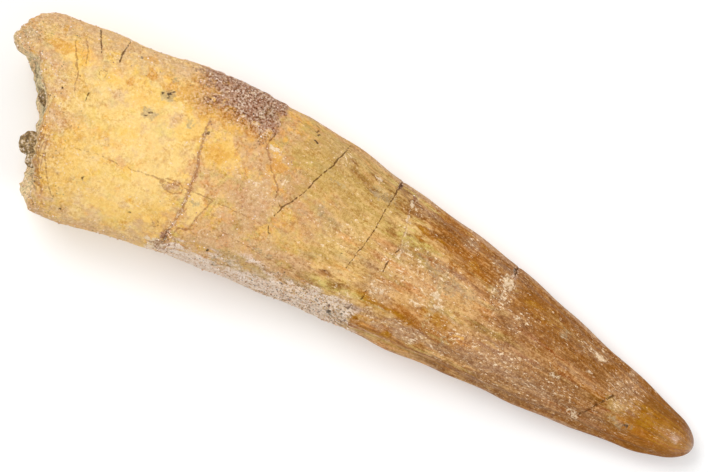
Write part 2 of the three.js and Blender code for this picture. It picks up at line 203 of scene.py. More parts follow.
# Cracks and seams, each a list of [x, y, half width]. All but the underside's lie on the upper face.
LINES = {
    "dark_cracks": [
        [[-14.9, 9.4, 0.06], [-15.1, 8.2, 0.04]],
        [[-11.7, 3.5, 0.04], [-11.3, 2.4, 0.05]],
        [[-5.9, 12.4, 0.07], [-6.4, 10.5, 0.09], [-6.7, 9.4, 0.14], [-7.4, 7.7, 0.09], [-7.8, 6.4, 0.1],
         [-8.3, 4.7, 0.09], [-9.2, 3, 0.09], [-9.9, 1.6, 0.11], [-10.4, 0.2, 0.07]],
        [[-10.6, 1.9, 0.09], [-10, 1.4, 0.1]],
        [[-10.5, -1.3, 0.12], [-10.3, -1.8, 0.09], [-9.8, -2.5, 0.03]],
        [[2.2, 11.8, 0.12], [2, 10.9, 0.13], [1.95, 9.8, 0.14], [1.85, 8.7, 0.13], [1.75, 7.4, 0.06],
         [1.7, 6.2, 0.05], [1.6, 5, 0.07], [1.4, 3, 0.08], [1.2, 1.9, 0.09], [0.9, 0.5, 0.07],
         [0.7, -0.9, 0.07], [0.6, -1.6, 0.07]],
        [[5.5, 3.8, 0.11], [5.3, 2.9, 0.06]],
        [[4.95, 1.6, 0.12], [4.95, 0.1, 0.13]],
        [[4.1, -2.7, 0.05], [4.05, -3.9, 0.11], [3.8, -4.5, 0.04]],
        [[3.3, -5.3, 0.07], [3.2, -6.1, 0.12]],
        [[37.9, -0.6, 0.16], [37.6, -1.1, 0.2]],
        [[37.2, -1.7, 0.15], [37, -2, 0.16]],
        [[36.6, -2.6, 0.16], [36.4, -2.9, 0.14]],
        [[36, -3.5, 0.14], [35.7, -4, 0.1]],
        [[35.3, -4.5, 0.1], [35.1, -4.9, 0.07]],
        [[-40.4, 11.1, 0.13], [-38.9, 8.6, 0.08]],
        [[-36.5, 11.6, 0.08], [-36.6, 10, 0.14], [-36.55, 8.6, 0.13]],
        [[-38.05, 3.4, 0.13], [-38, 2.2, 0.09]],
        [[20, 8.6, 0.12], [20, 7.2, 0.09]],
    ],
    "underside_cracks": [
        [[-22.4, 8.9, 0.1], [-21, 3.5, 0.14], [-20.2, -2, 0.1], [-21.2, -7.6, 0.14]],
        [[2.2, 11.2, 0.14], [3.4, 6.2, 0.12], [2.4, 0.8, 0.06]],
        [[-9, -7.4, 0.14], [-7.2, -2.5, 0.1], [-7.9, 3.1, 0.06]],
        [[19.9, 8, 0.1], [20.8, 3.4, 0.12], [19.6, -3.6, 0.07]],
    ],
    "rust_cracks": [
        [[-23.1, 7.8, 0.1], [-22.9, 6.4, 0.24], [-22.8, 5.4, 0.34], [-22.5, 4, 0.24], [-22.3, 2.8, 0.24],
         [-21.8, 1.5, 0.28], [-21.5, 0, 0.28], [-21.3, -1.8, 0.32], [-21.1, -2.8, 0.28],
         [-21.1, -4.5, 0.32], [-21.2, -6, 0.26], [-21.3, -7.5, 0.28], [-21.6, -8.7, 0.22],
         [-22, -10, 0.14]],
        [[-23.4, -9.9, 0.12], [-22.2, -9.6, 0.18], [-21, -9.9, 0.14], [-19.6, -9.3, 0.1]],
        [[-21, -7.9, 0.16], [-20, -8.4, 0.16], [-19.7, -9.2, 0.1]],
    ],
    "pale_seams": [
        [[4.8, 10.6, 0.12], [4.6, 9.3, 0.16], [4.5, 8.4, 0.07], [4.7, 7.9, 0.08], [5, 6.8, 0.07],
         [5.3, 5.7, 0.12], [5.5, 4.6, 0.04], [5.9, 2.9, 0.12]],
        [[19.7, 5.2, 0.18], [19.6, 3, 0.07], [19.6, 0.1, 0.05]],
        [[15.7, -3, 0.04], [16.1, -2.7, 0.1], [17, -2.55, 0.1], [17.9, -2.6, 0.03]],
        [[29.1, 2, 0.05], [29.1, -1, 0.04]],
        [[4.2, -7.55, 0.1], [7, -7.5, 0.08], [9.6, -7.3, 0.12]],
    ],
    "creases": [
        [[-15, 10.1, 0.13], [-15.1, 7.4, 0.17], [-14.3, 6.6, 0.15], [-13.6, 5.6, 0.13], [-12.8, 4.6, 0.13],
         [-11.8, 3.7, 0.14], [-11.4, 3.1, 0.12], [-11.2, 2, 0.1], [-10.9, 1.5, 0.06]],
        [[-36.5, -3.6, 0.05], [-33.6, -3, 0.07], [-30, -2.9, 0.1], [-27.5, -2.5, 0.1], [-25, -2.1, 0.12],
         [-22.7, -1.9, 0.12], [-20, -1.7, 0.1], [-17.4, -1.6, 0.07], [-13, -1.4, 0.05],
         [-10.6, -1.5, 0.05]],
        [[-25.1, -2.2, 0.08], [-24.3, -1.6, 0.1], [-23.2, -1.5, 0.1], [-22.2, -1.9, 0.09],
         [-22.1, -2.5, 0.09], [-22.9, -3.1, 0.1], [-24.2, -3.1, 0.1], [-25.1, -2.2, 0.08]],
        [[-23.7, -7.3, 0.08], [-23.2, -6.9, 0.1], [-22.8, -7.4, 0.1], [-23.2, -7.9, 0.1],
         [-23.7, -7.3, 0.08]],
        [[-37.9, 6.9, 0.09], [-37.2, 6.9, 0.08], [-37.1, 6.2, 0.1], [-37.6, 5.9, 0.09], [-38, 6.3, 0.09],
         [-37.9, 6.9, 0.08]],
        [[-18.3, -2, 0.1], [-19, -4.4, 0.14], [-19.2, -6.2, 0.14], [-20.4, -6.6, 0.16], [-20.6, -7.3, 0.1]],
        [[-41.9, -1, 0.14], [-41.2, -3.4, 0.2], [-40.7, -5.8, 0.16], [-39.9, -8, 0.2], [-38.9, -9.8, 0.14]],
        [[-40.9, -4, 0.12], [-40.2, -6.2, 0.17], [-39.2, -8.6, 0.12], [-38, -10.3, 0.16]],
        [[-40.4, -3.6, 0.08], [-39.4, -6.2, 0.13], [-37.9, -8.8, 0.1], [-36.2, -10.3, 0.12]],
        [[-46.2, 5.6, 0.1], [-44.6, 3.2, 0.18], [-42.9, 0.9, 0.2], [-42.1, -0.6, 0.1]],
        [[-42.6, 8.6, 0.1], [-41.4, 6.4, 0.14], [-40.3, 4.6, 0.15], [-39.8, 2.8, 0.08]],
        [[-41.5, 9.4, 0.08], [-40.5, 7.8, 0.15], [-40.1, 6.2, 0.1]],
        [[-5, -3.7, 0.04], [-1.8, -3.5, 0.09], [1.5, -3.3, 0.05]],
        [[4.4, 9, 0.05], [4.4, 8.2, 0.1], [4.65, 7.4, 0.06], [5.1, 6.1, 0.08], [5.25, 4.9, 0.06],
         [5.5, 4, 0.08]],
        [[-15.5, -4.6, 0.04], [-9, -5, 0.09], [-3, -5.2, 0.09], [2.5, -4.9, 0.06]],
        [[5, -5, 0.06], [11, -4.8, 0.09], [17, -4.7, 0.06]],
        [[6, -5.9, 0.05], [12, -5.7, 0.08], [16, -5.9, 0.05]],
    ],
}

# How each kind of line runs: how much of LINE_STRAY its x and its y take, and how deep its groove is, as a
# share of the crack depth.
LINE_SHAPE = {
    "dark_cracks": (1, 0, 0.5), "underside_cracks": (1, 0, 0.6), "rust_cracks": (1, 0, 0.5),
    "pale_seams": (0.5, 0, 0.2), "creases": (1, 1, 0.2),
}

# Stains and worn patches. Spots are [x, y, reach along, reach across, turn, strength], and bands, which lie
# on the upper face, [from x, to x, from v, to v, blur along, blur across, strength].
SPOTS = {
    "ochre": [
        [-37, -5, 2.2, 3.6, 0, 0.9], [-36.8, -9, 2.4, 1.4, 0, 0.9], [-20, 4, 2.2, 1.8, 0, 1.1],
        [-29, -8.3, 3.6, 0.9, 0, 0.8], [-24.4, -6.5, 1.8, 2.2, 0, 0.8], [-33, 6.5, 4, 1.3, 0, 0.7],
        [-24.6, 4.6, 1.4, 3, 0, 0.9], [-31.5, 0.5, 2, 1.5, 0, 0.7], [-31, -5.8, 3, 1, 0, 0.6],
        [-44.6, 1.8, 1.6, 0.5, -50, 0.7],
    ],
    "cream": [
        [-33, 2.6, 5.5, 2, 0, 0.7], [-29, -4.4, 5, 1.6, 0, 0.7], [-25.4, -0.2, 2.2, 3.6, 0, 0.8],
        [-38.5, 1.3, 1.2, 0.8, 20, 1.3], [-19.9, -3.4, 1, 1.9, 8, 1.3], [-27.6, 3.4, 0.6, 0.4, 0, 1.1],
        [-27, 7, 1.2, 0.8, 0, 0.8], [-18.3, 7.4, 2.5, 0.6, 0, 0.5], [-42.4, 6.7, 1.2, 0.5, 0, 0.9],
        [-25.3, 1, 0.5, 0.4, 0, 1], [-41, 1, 1, 0.5, 0, 0.7], [-35, -1.6, 2, 0.5, 0, 0.8],
    ],
    "chalk": [
        [19.6, 5.9, 0.6, 0.75, 0, 1.1], [12.3, 0.4, 0.8, 0.5, -30, 1], [13.3, -0.7, 0.4, 0.4, 0, 0.9],
        [-13.7, 7.3, 1, 0.34, -18, 1.1], [5, 7.8, 0.15, 0.8, 0, 0.6], [4.7, 9.4, 0.3, 0.4, 0, 0.7],
        [-0.9, 10.2, 0.4, 0.2, 0, 1.1], [-22.4, -9.4, 1.4, 0.7, 0, 0.9], [34.4, -5.2, 0.4, 0.7, 15, 0.5],
        [34.3, 3.3, 0.8, 0.2, -12, 1.2], [34, 0.7, 0.4, 0.15, 0, 0.9], [30.2, -1.4, 0.7, 0.3, 20, 0.7],
        [5.7, -2, 0.8, 0.3, 45, 0.55], [22.4, 2.6, 0.4, 0.25, 0, 0.7], [-10.3, 12.6, 0.3, 0.1, 0, 0.8],
        [5.9, 3, 0.3, 0.4, 0, 0.7],
    ],
    "sand": [[-9, -6.3, 3.2, 0.5, -2, 0.8], [-4.8, -6.5, 2.6, 0.45, 0, 0.8], [-14, -7.2, 2.4, 0.5, 0, 0.7]],
    "polish": [[47.9, -1.7, 2.6, 1.3, 0, 1.3]],
    "worn": [
        # The first worn spot, a thin streak along the tip's ridge, is a painted highlight, laid on as pale
        # scuffs and haze.
        [45.5, -1.2, 3, 0.3, 0, 0.6], [13.3, 8.3, 1.1, 0.9, 0, 0.9], [6.6, 9.2, 1.4, 0.5, 0, 0.8],
        [17.8, 7.4, 0.8, 0.9, 0, 0.6], [12.6, 0, 1.8, 1.2, 0, 1], [10.2, -1.2, 1.2, 0.9, 0, 0.9],
        [6.4, 2.8, 1.6, 1.6, 0, 0.9], [5.8, -2, 1.4, 0.9, 0, 0.9], [24, -3.6, 9, 2.6, 0, 0.65],
        [28.5, -3.8, 4.5, 2.4, 0, 0.5], [15, -3.2, 3.5, 1, 0, 0.5], [33.4, 3.2, 2, 0.7, 0, 0.8],
        [37.2, -4.4, 1.4, 1.2, 0, 0.45], [39.4, -0.9, 1.8, 1.5, 0, 1], [8.5, 1.4, 5, 2, 0, 0.75],
        [15.5, 1.5, 4, 2, 0, 0.3], [10.5, 4.2, 3.5, 0.8, -8, 0.7], [19.8, 5, 1.6, 2.4, 0, 0.9],
        [19.6, 0, 0.8, 3, 0, 0.5], [22.6, 2.4, 2.4, 1.2, 0, 0.5], [10, -5.6, 6, 0.7, 0, 0.9],
        [39, 0.9, 2.2, 1.6, 0, 0.8], [-6, 10.5, 2, 1.2, 0, 0.7], [-3, 2, 4, 2, 0, 0.5],
        [-13, 3, 4, 3, 0, 0.5], [2.2, -5.6, 1.4, 1, 0, 0.9], [28, 4, 4, 1.2, 0, 0.2],
    ],
    "crimson": [
        [-19, 12, 4.5, 2.7, 0, 1.2], [-23.5, 12.5, 3.6, 2.2, 12, 1], [-16.8, 10.4, 1.8, 1.4, 0, 1],
        [-25.6, 11.4, 2.2, 1, 20, 0.6], [-23.4, 9.4, 2.6, 1.3, 0, 0.85], [-19.4, 9.4, 4.2, 1.4, 0, 0.95],
        [2, 10.9, 0.35, 0.5, 0, 1.2], [-16.2, 8.7, 1.3, 1.2, 0, 1], [20, 7.4, 0.3, 0.8, 0, 0.9],
        [4.8, 10.2, 0.4, 0.4, 0, 0.8], [-21.6, -8.6, 0.9, 1.4, 0, 0.7],
    ],
    "orange": [
        [-43.8, 7.1, 1.4, 0.5, 0, 1], [-40.6, 7.2, 0.5, 0.6, 0, 1], [-45.6, 3.9, 1.6, 0.45, -48, 1.5],
        [-34.1, 7.3, 0.5, 0.7, 0, 1.6], [-32.2, 9.2, 0.5, 0.7, 0, 1.5], [-12.6, 5.7, 1.3, 0.75, -15, 1.6],
        [-27, -9.1, 0.5, 0.4, 0, 0.8], [-20.8, 8.2, 6.4, 1.3, 0, 0.9], [-14, 9, 1.2, 0.8, 0, 0.6],
        [-28.5, 9.2, 2.6, 1.2, 12, 0.8], [-26.4, 10.2, 2.4, 1.6, 25, 0.9], [-41.9, -1.6, 0.4, 1.6, 25, 0.9],
        [17, -3.1, 0.7, 0.25, 0, 0.7], [-15.7, 8.6, 0.7, 0.9, 0, 0.9], [-48.4, 8.3, 0.6, 0.4, 0, 0.9],
        [-40.4, -10.4, 0.5, 0.8, 0, 0.8], [-44.6, 9.2, 0.4, 0.7, 20, 0.8], [-20.4, 3.8, 1.6, 1.1, 0, 0.9],
        [-33.2, 10.6, 0.9, 0.5, 0, 0.7],
    ],
    "olive": [
        [-5, 10.4, 4.6, 2.2, -6, 0.9], [0.5, 9.4, 4, 1.6, -8, 1], [-2.5, 8.4, 4.2, 0.9, -4, 0.8],
        [-2.6, -1.2, 2.6, 0.6, 0, 1], [-2.4, 4, 2.6, 0.4, 0, 1], [-5, 5.6, 4, 0.6, -4, 0.7],
        [1.2, 4.4, 2.2, 2.8, 0, 0.7], [1, 8.3, 2.2, 1.6, -6, 0.9], [-12, -6.9, 4, 0.45, 0, 1],
        [12.2, 0.5, 0.4, 3.6, 0, 0.6], [39.5, -3.6, 1.4, 0.6, 0, 1], [-3.6, -6.1, 3, 0.2, 2, 0.9],
        [8.5, 7, 2.5, 0.5, -6, 0.7], [38.6, -1.7, 1.3, 1.2, 0, 1],
    ],
    "mauve": [
        [38.6, 1.2, 1.6, 1.3, 0, 1.1], [29.5, -4.4, 7.5, 2.2, 2, 0.8], [21.5, -3.8, 4.5, 2.6, 0, 0.85],
        [-1.8, -3.6, 0.6, 0.3, 0, 1.2], [23, 2.4, 3, 1.6, 0, 0.4], [33, 0.2, 4, 1.3, 0, 0.5],
        [11, -5.6, 7, 0.8, 0, 1], [7.5, 7.6, 0.6, 0.4, 0, 0.8], [14.5, 3, 4, 1.4, 0, 0.6],
        [4.9, 10.2, 0.6, 0.4, 0, 1], [-23.6, -2.3, 1.4, 0.7, 0, 0.75],
    ],
    "gold": [
        [7, -7, 3, 0.35, 0, 1.2], [6.5, -4, 3.6, 0.8, 0, 0.9], [11, 5.7, 3, 0.5, -5, 0.9],
        [14, -2.2, 3, 0.7, 0, 0.7], [8, 6.8, 2.4, 0.5, -5, 0.8], [14.6, 5.6, 2, 0.5, -5, 0.8],
        [26, 4.4, 3, 0.6, -8, 0.7],
    ],
    "rose": [
        [-23.6, -2.3, 1.3, 0.6, 0, 1.2], [-23.6, 3.2, 0.6, 0.9, 0, 0.9], [-26.6, 5.4, 0.8, 0.8, 0, 0.9],
        [-25.6, 8.4, 1.2, 0.6, 0, 0.9], [-34.8, 4.8, 1.6, 0.5, 0, 0.7], [-39, -1.6, 0.9, 0.7, 0, 0.9],
        [-33.5, -1.5, 0.7, 0.5, 0, 0.8], [-13.5, 0.6, 3, 2.4, 0, 0.8],
    ],
    "brown": [
        [41.7, -2.4, 0.8, 0.4, 0, 1], [3.5, 9.4, 3.6, 1.2, -8, 0.8], [3.6, 6.6, 0.9, 1.3, 0, 0.7],
        [-0.8, -3.8, 3, 0.6, 0, 0.9], [33.2, -3.6, 2.6, 1.2, 0, 1], [39.5, -4.3, 2.2, 0.8, 0, 0.9],
        [9.5, 8.4, 5, 1, -8, 0.8], [-1.5, 9.8, 3, 1, -8, 0.55],
    ],
    "grey": [
        [-17, 11.4, 1.4, 0.9, 0, 0.5], [-24.7, 5.5, 0.7, 0.7, 0, 0.8], [0.6, 8.8, 1.5, 0.6, -5, 0.9],
        [-5.4, 3.2, 0.5, 0.8, 20, 0.8], [-10, -4.4, 2.2, 0.3, 0, 0.7], [-5, 7.4, 1.6, 0.3, -5, 0.6],
        [-29.2, 7.9, 1.2, 0.8, 25, 1.6], [-30.3, 4.5, 0.9, 0.5, 30, 1.5], [-19.9, -3, 0.4, 0.35, 0, 1],
        [-48.4, 6.4, 1.5, 1.5, 0, 0.8], [12, 2.6, 0.5, 1.9, 0, 0.9], [18.3, 4.4, 1.2, 0.6, 0, 0.7],
        [10.6, 3.4, 2.8, 0.9, -10, 0.6], [14, 2.2, 2.4, 1, 0, 0.6], [5.6, 4.6, 0.5, 1.6, 10, 0.7],
        [28.9, 3.6, 0.9, 0.5, -20, 0.7], [40.2, -3.4, 1.2, 0.5, 0, 0.9], [1.8, -7.4, 0.8, 0.6, 0, 0.8],
        [-29.3, 9.9, 0.4, 0.3, 0, 0.9], [-12, -7.6, 3, 0.3, 0, 0.9], [-14.5, -8.3, 1.6, 0.4, 0, 0.8],
        [12.6, -2.4, 0.4, 1.6, 0, 0.8], [15.4, -4.4, 0.3, 0.9, 0, 0.7],
    ],
    "dark": [
        [-29.6, 7.95, 0.22, 0.2, 25, 1.3], [-29.1, 8.15, 0.3, 0.25, 0, 1.3],
        [-28.6, 8.5, 0.24, 0.1, 10, 1.3], [-29.3, 8.55, 0.14, 0.1, 0, 1.2],
        [-30.1, 7.5, 0.12, 0.25, -20, 1.1], [-29, 7.7, 0.12, 0.08, 0, 1.1],
        [-30.5, 4.4, 0.16, 0.08, 20, 1.2], [-30.1, 4.75, 0.12, 0.08, 50, 1.2],
        [-30.9, 4.3, 0.08, 0.06, 0, 1.1], [-34.2, -6.7, 0.12, 0.24, 25, 1], [-26.4, -7.4, 0.14, 0.1, 0, 1],
        [-47.3, 7.3, 0.24, 0.12, 20, 1.2], [-49, 7.2, 0.14, 0.12, 0, 1.1], [-10.5, 12.2, 0.2, 0.16, 0, 1],
        [-10.3, 11, 0.3, 0.16, 0, 0.9], [-22.8, 5.35, 0.3, 0.3, 0, 1.2], [20, 7.6, 0.2, 0.3, 0, 1.3],
        [-6, -7.45, 0.24, 0.14, 0, 1.1], [-1.2, -7, 0.2, 0.14, 0, 1], [-16.4, -7.5, 0.16, 0.1, 0, 1],
        [-7, -6, 0.12, 0.1, 0, 1], [41, -3.5, 0.25, 0.2, 0, 1], [2, 11, 0.25, 0.4, 0, 1.2],
        [-21.5, -8.3, 0.3, 0.5, 0, 0.9], [-42.1, 9.5, 0.25, 0.1, 20, 1], [-44.1, 5.4, 0.16, 0.14, 0, 1],
        [-43, 0.9, 0.16, 0.12, 0, 1.1], [-41.2, 2.5, 0.14, 0.1, 0, 0.9], [-39.8, 4.7, 0.12, 0.16, 0, 0.9],
        [-33.9, 10.2, 0.2, 0.1, 0, 0.8], [-48.6, 8.2, 0.18, 0.12, 0, 1], [-39.2, -9.6, 0.14, 0.2, 30, 1],
        [-35, -11, 0.14, 0.12, 0, 0.9], [-40.1, 11, 0.12, 0.1, 0, 1], [-24.2, -4.5, 0.12, 0.08, 0, 1],
        [-5.8, -5.85, 0.16, 0.1, 0, 1], [-1.9, -3.5, 0.25, 0.1, 0, 0.9], [1.6, -7.2, 0.3, 0.2, 0, 1],
        [2.3, -6.6, 0.2, 0.12, 0, 0.9], [1, -6.5, 0.14, 0.12, 0, 0.9], [-0.9, -0.5, 0.25, 0.06, 0, 0.8],
        [3.2, -5.8, 0.12, 0.2, 0, 1],
    ],
}
BANDS = {
    "rose": [
        [-49, -39, 0.8, 1.4, 2, 0.14, 0.85], [-40, -20, 0.75, 1.4, 2, 0.3, 0.8],
        [-42, -24, -1.4, -0.9, 2, 0.1, 0.8], [-17, -10.5, -0.5, 0.45, 1.5, 0.25, 0.4],
        [-19, 1, -1.4, -0.97, 2, 0.02, 0.2], [-19, -4, -0.85, -0.4, 2, 0.2, 0.7],
    ],
    "edge": [[-14, 40, 0.993, 1.4, 2, 0.004, 0.95], [4, 36, -1.4, -0.996, 2, 0.003, 0.8]],
    "olive": [[-11, 5, 0.3, 1, 3, 0.2, 1]],
    # The sand along the concave edge is bared dentine painted near white: partly its own pale colour, partly
    # painted light on an edge that turns down into shade.
    "sand": [[-22, 3.9, -1.4, -0.84, 2.5, 0.1, 1.05], [-4, 3.9, -1.4, -0.7, 2, 0.08, 1]],
    "amber": [
        [7, 30, 0.4, 1.2, 3.5, 0.22, 1], [4.1, 9.5, -0.95, -0.82, 0.3, 0.03, 1.3],
        [9, 22, -0.93, -0.85, 2, 0.03, 0.8], [7, 24, -0.68, -0.4, 4, 0.15, 1],
        [22, 44, 0.7, 1.2, 4, 0.25, 0.8], [40, 53, -1.5, -0.35, 2.5, 0.2, 1.1],
    ],
    "brown": [
        [17, 40, 0.22, 1.3, 4, 0.3, 0.95], [13, 41, -1.3, -0.72, 4, 0.2, 0.8],
        # The last two brown bands darken the tip's upper and lower edges: partly the enamel's own brown,
        # partly painted shade on the rounded tip's edges.
        [26, 38, -0.7, -0.1, 3, 0.2, 0.6], [40, 52, 0.5, 1.3, 3, 0.2, 1.1],
        [41, 52, -1.4, -0.65, 3, 0.15, 0.9],
    ],
    "gold": [[40, 51, -0.45, 0.5, 3, 0.3, 0.95]],
}
UNDERSIDE_SPOTS = {
    "rose": [[-34, 2, 5, 3, 10, 0.9], [-12, -4, 4, 2, 0, 0.8], [-46, -2, 2.5, 4, 0, 0.8]],
    "cream": [[-27, 3.5, 3, 2.2, 0, 0.8], [-40, 6, 2.5, 1.5, -10, 0.8], [-17, 6, 2, 1, 0, 0.7]],
    "ochre": [[-38, -5, 4, 2.4, 0, 0.9], [-24, -3, 3, 2, 0, 0.8]],
    "orange": [[-30, -8, 3, 1, 0, 0.9], [-15, 9, 3, 1.2, 0, 0.9], [-3, -5, 2.4, 0.8, 0, 0.8]],
    "crimson": [[-21, 11, 3.5, 1.6, 0, 1], [-31, 9.6, 2.2, 0.8, 10, 0.7]],
    "olive": [[-4, 5, 5, 1.6, -4, 0.9], [8, -2, 4, 1, 4, 0.8]],
    "sand": [[-2, -6.4, 6, 1.2, 4, 0.9], [12, 5.6, 2, 0.7, -10, 0.8]],
    "amber": [[12, 1, 7, 1.6, -3, 0.9], [26, -2, 6, 1.2, 4, 0.9]],
    "brown": [[20, 4.6, 8, 1.2, -8, 0.9], [36, 0.4, 6, 1.4, 0, 0.8]],
    "mauve": [[24, 1.6, 7, 1.2, 0, 0.8], [4, 7.6, 4, 1, -6, 0.8]],
    "chalk": [[7, 2.6, 0.8, 0.4, 20, 1], [17.4, -3.2, 0.6, 0.4, 0, 1], [-8.8, 1, 0.7, 0.4, 0, 0.9]],
    "worn": [[14, 3, 6, 2, 0, 0.7], [30, 1, 6, 2, 0, 0.6], [7, 2.6, 2, 1.4, 0, 0.8]],
}
LAYERS = ["rose", "ochre", "cream", "olive", "amber", "mauve", "brown", "gold", "edge", "sand", "crimson",
          "orange", "grey", "chalk", "dark", "worn", "polish"]

# What the mesh keeps for the materials to read, three to an attribute.
MASKS = [*LAYERS, "broken", "crown", "weathered"]

LINE_REACH = 1.4  # how far from a line its width is still known
LINE_STRAY = 0.12  # how far a line strays from an even one
PATCH_STRAY = 0.6  # and a stain's outline
BAND_STRAY = 0.06  # how much of that, as a share of the half width, a band's long sides take
EDGE_STRAY = 0.002  # and those of a bare cutting edge
CRACK_SPREAD = 0.22  # half the width of the groove that a crack leaves
CRACK_WIDTH = 0.12  # half the width of a crack that leaves the full groove
CROWN_RISE = (-14, 4)  # the root passes into the crown between these
WEATHERED_REACH = 5.5  # how far from the broken rim the root is weathered
RIM_REACH = 1.6  # and how far its edge is rough
GROWTH_LENGTH = 8  # the growth pattern is drawn out along the tooth by this
GROWTH_WIDTH = 9  # and is about this many mm from its middle to its edge
SPECK_DEPTH = 0.12
CHALK_HEIGHT = 0.06
ROSE_ROUGHNESS = 0.05
RIM_ROUGHNESS = 0.22
WALL_ROUGHNESS = 0.3

# Noises of the relief and of the marks' outlines: size in mm, seed and octaves.
UNEVENNESS = {
    "line": (0.9, 3, 2), "patch_x": (1.8, 5, 4), "patch_y": (1.5, 7, 4), "edge": (1.4, 9, 3),
    "striae": (0.42, 11, 2), "root": (1.3, 21, 3), "crust": (0.55, 31, 2), "dentine": (0.7, 41, 2),
    "chalk": (0.4, 43, 1), "rose": (0.6, 45, 2), "rim": (1.4, 51, 3), "rim_edge": (1.0, 61, 4),
    "wall": (0.6, 63, 2), "sandstone": (0.9, 71, 3), "lumps": (0.5, 73, 1),
}
# How thick loose sand lies where each of these is, 0 to 1.
SAND_COVER = {"crimson": 0.4, "sand": 0.5, "rose": 0.25, "rim": 0.6, "ring_crack": 1.0, "broken": 0.8}


# ---------------------------------------------------------------- the surface


def section(x):
    """The smooth oval section at x: the height of its middle across and up, and half its width and depth."""
    convex, concave, top, bottom = CONVEX_EDGE(x), CONCAVE_EDGE(x), UPPER_FACE(x), UNDERSIDE(x)
    return (convex + concave) / 2, (top + bottom) / 2, (convex - concave) / 2, (top - bottom) / 2


def oval(angle):
    """Places round an oval of half width and depth 1, squarer than a circle."""
    turn = np.radians(angle)
    across, up = np.cos(turn), np.sin(turn)
    power = 2 / SQUARENESS
    return np.sign(across) * np.abs(across) ** power, np.sign(up) * np.abs(up) ** power


def relief(x, angle):
    """How far the main forms stand out from the smooth oval."""
    turn = np.radians(angle)
    keels = sum(
        KEEL["height"] * swell(angle_between(angle, keel["angle"]), KEEL["width"])
        * step(keel["start_x"], keel["full_x"], x)
        for keel in KEELS
    )
    swells = sum(
        height * np.sin(per_mm * x + lobes * turn + start) for height, per_mm, lobes, start in SWELLS
    )
    crown = step(FLUTES["start_x"], FLUTES["full_x"], x) * (1 - step(FLUTES["fade_x"], FLUTES["end_x"], x))
    flutes = FLUTES["depth"] * crown * (np.cos(FLUTES["count"] * turn) - 0.5)
    lost = ENAMEL_LOSS
    along = step(lost["from_x"] - 2, lost["from_x"] + 2, x)
    along = along * (1 - step(lost["to_x"] - lost["step"], lost["to_x"] + lost["step"], x))
    around = step(lost["from"] - lost["edge"], lost["from"], angle)
    around = around * (1 - step(lost["to"] - lost["edge"], lost["to"] + lost["edge"], angle))
    fade = 1 - step(KEEL["fade_x"], KEEL["end_x"], x)
    return (keels + swells) * fade + flutes - lost["depth"] * along * around


def skin(x, angle, inset=0.0, tip=1.0):
    """Points of the skin, and the way each faces across the tooth. Inset goes in under the skin, and tip
    is the share of the full section that is left where the tip is rounded."""
    middle_y, middle_z, half_width, half_depth = section(x)
    across, up = oval(angle)
    out_y, out_z = across * half_depth, up * half_width
    length = np.hypot(out_y, out_z)
    out_y, out_z = out_y / length, out_z / length
    out = relief(x, angle) * tip - inset
    y = middle_y + across * half_width * tip + out_y * out
    z = middle_z + up * half_depth * tip + out_z * out
    x = np.broadcast_to(x, y.shape)
    return np.stack([x, y, z], -1), np.stack([np.zeros(y.shape), out_y, out_z], -1)


def line_field(lines, x, y):
    """The way to the nearest of the lines, and its half width there, which is 0 away from every line."""
    nearest = np.full(x.shape, np.inf)
    field = np.zeros((*x.shape, 3))
    for line in lines:
        for (x0, y0, width0), (x1, y1, width1) in itertools.pairwise(line):
            run_x, run_y = x1 - x0, y1 - y0
            share = ((x - x0) * run_x + (y - y0) * run_y) / (run_x**2 + run_y**2)
            share = np.clip(share, 0, 1)
            to_x, to_y = x0 + share * run_x - x, y0 + share * run_y - y
            distance = np.hypot(to_x, to_y)
            width = (width0 + share * (width1 - width0)) * (1 - step(LINE_REACH / 2, LINE_REACH, distance))
            closer = distance < nearest
            field[closer] = np.stack([to_x, to_y, width], -1)[closer]
            nearest = np.minimum(nearest, distance)
    return field


def spot_mask(spots, x, y):
    """0.5 at the spots' edges and their strength at their centres."""
    mask = np.zeros(x.shape)
    for spot_x, spot_y, reach_x, reach_y, turn, strength in spots:
        cosine, sine = math.cos(math.radians(turn)), math.sin(math.radians(turn))
        along = (x - spot_x) * cosine + (y - spot_y) * sine
        across = (y - spot_y) * cosine - (x - spot_x) * sine
        away = np.hypot(along / reach_x, across / reach_y)
        mask = np.maximum(mask, strength * np.clip(1.5 - away, 0, 1))
    return mask


def band_mask(bands, x, v):
    mask = np.zeros(x.shape)
    for from_x, to_x, from_v, to_v, blur_x, blur_v, strength in bands:
        along = step(from_x - blur_x, from_x + blur_x, x) * (1 - step(to_x - blur_x, to_x + blur_x, x))
        across = step(from_v - blur_v, from_v + blur_v, v) * (1 - step(to_v - blur_v, to_v + blur_v, v))
        mask = np.maximum(mask, strength * along * across)
    return mask


def upper_share(angle):
    """1 on the upper face, 0 on the underside."""
    return step(-0.35, 0.1, np.sin(np.radians(angle)))


def stain_masks(x, y, v, angle):
    upper = upper_share(angle)
    masks = {}
    for name in LAYERS:
        above = np.maximum(spot_mask(SPOTS.get(name, []), x, y), band_mask(BANDS.get(name, []), x, v))
        beneath = spot_mask(UNDERSIDE_SPOTS.get(name, []), x, y)
        masks[name] = above * upper + beneath * (1 - upper)
    masks["crimson"] *= 1 - step(CRUST_END_X - 0.3, CRUST_END_X + 0.3, x) * (x < 0)
    return masks


def surface_lines(x, y, upper, stray):
    """The field of each kind of line, on the upper face or the underside alone."""
    fields = {}
    for name, (stray_x, stray_y, _) in LINE_SHAPE.items():
        fields[name] = line_field(LINES[name], x + stray_x * stray, y + stray_y * stray)
        fields[name][..., 2] *= 1 - upper if name == "underside_cracks" else upper
    return fields


# ---------------------------------------------------------------- meshes


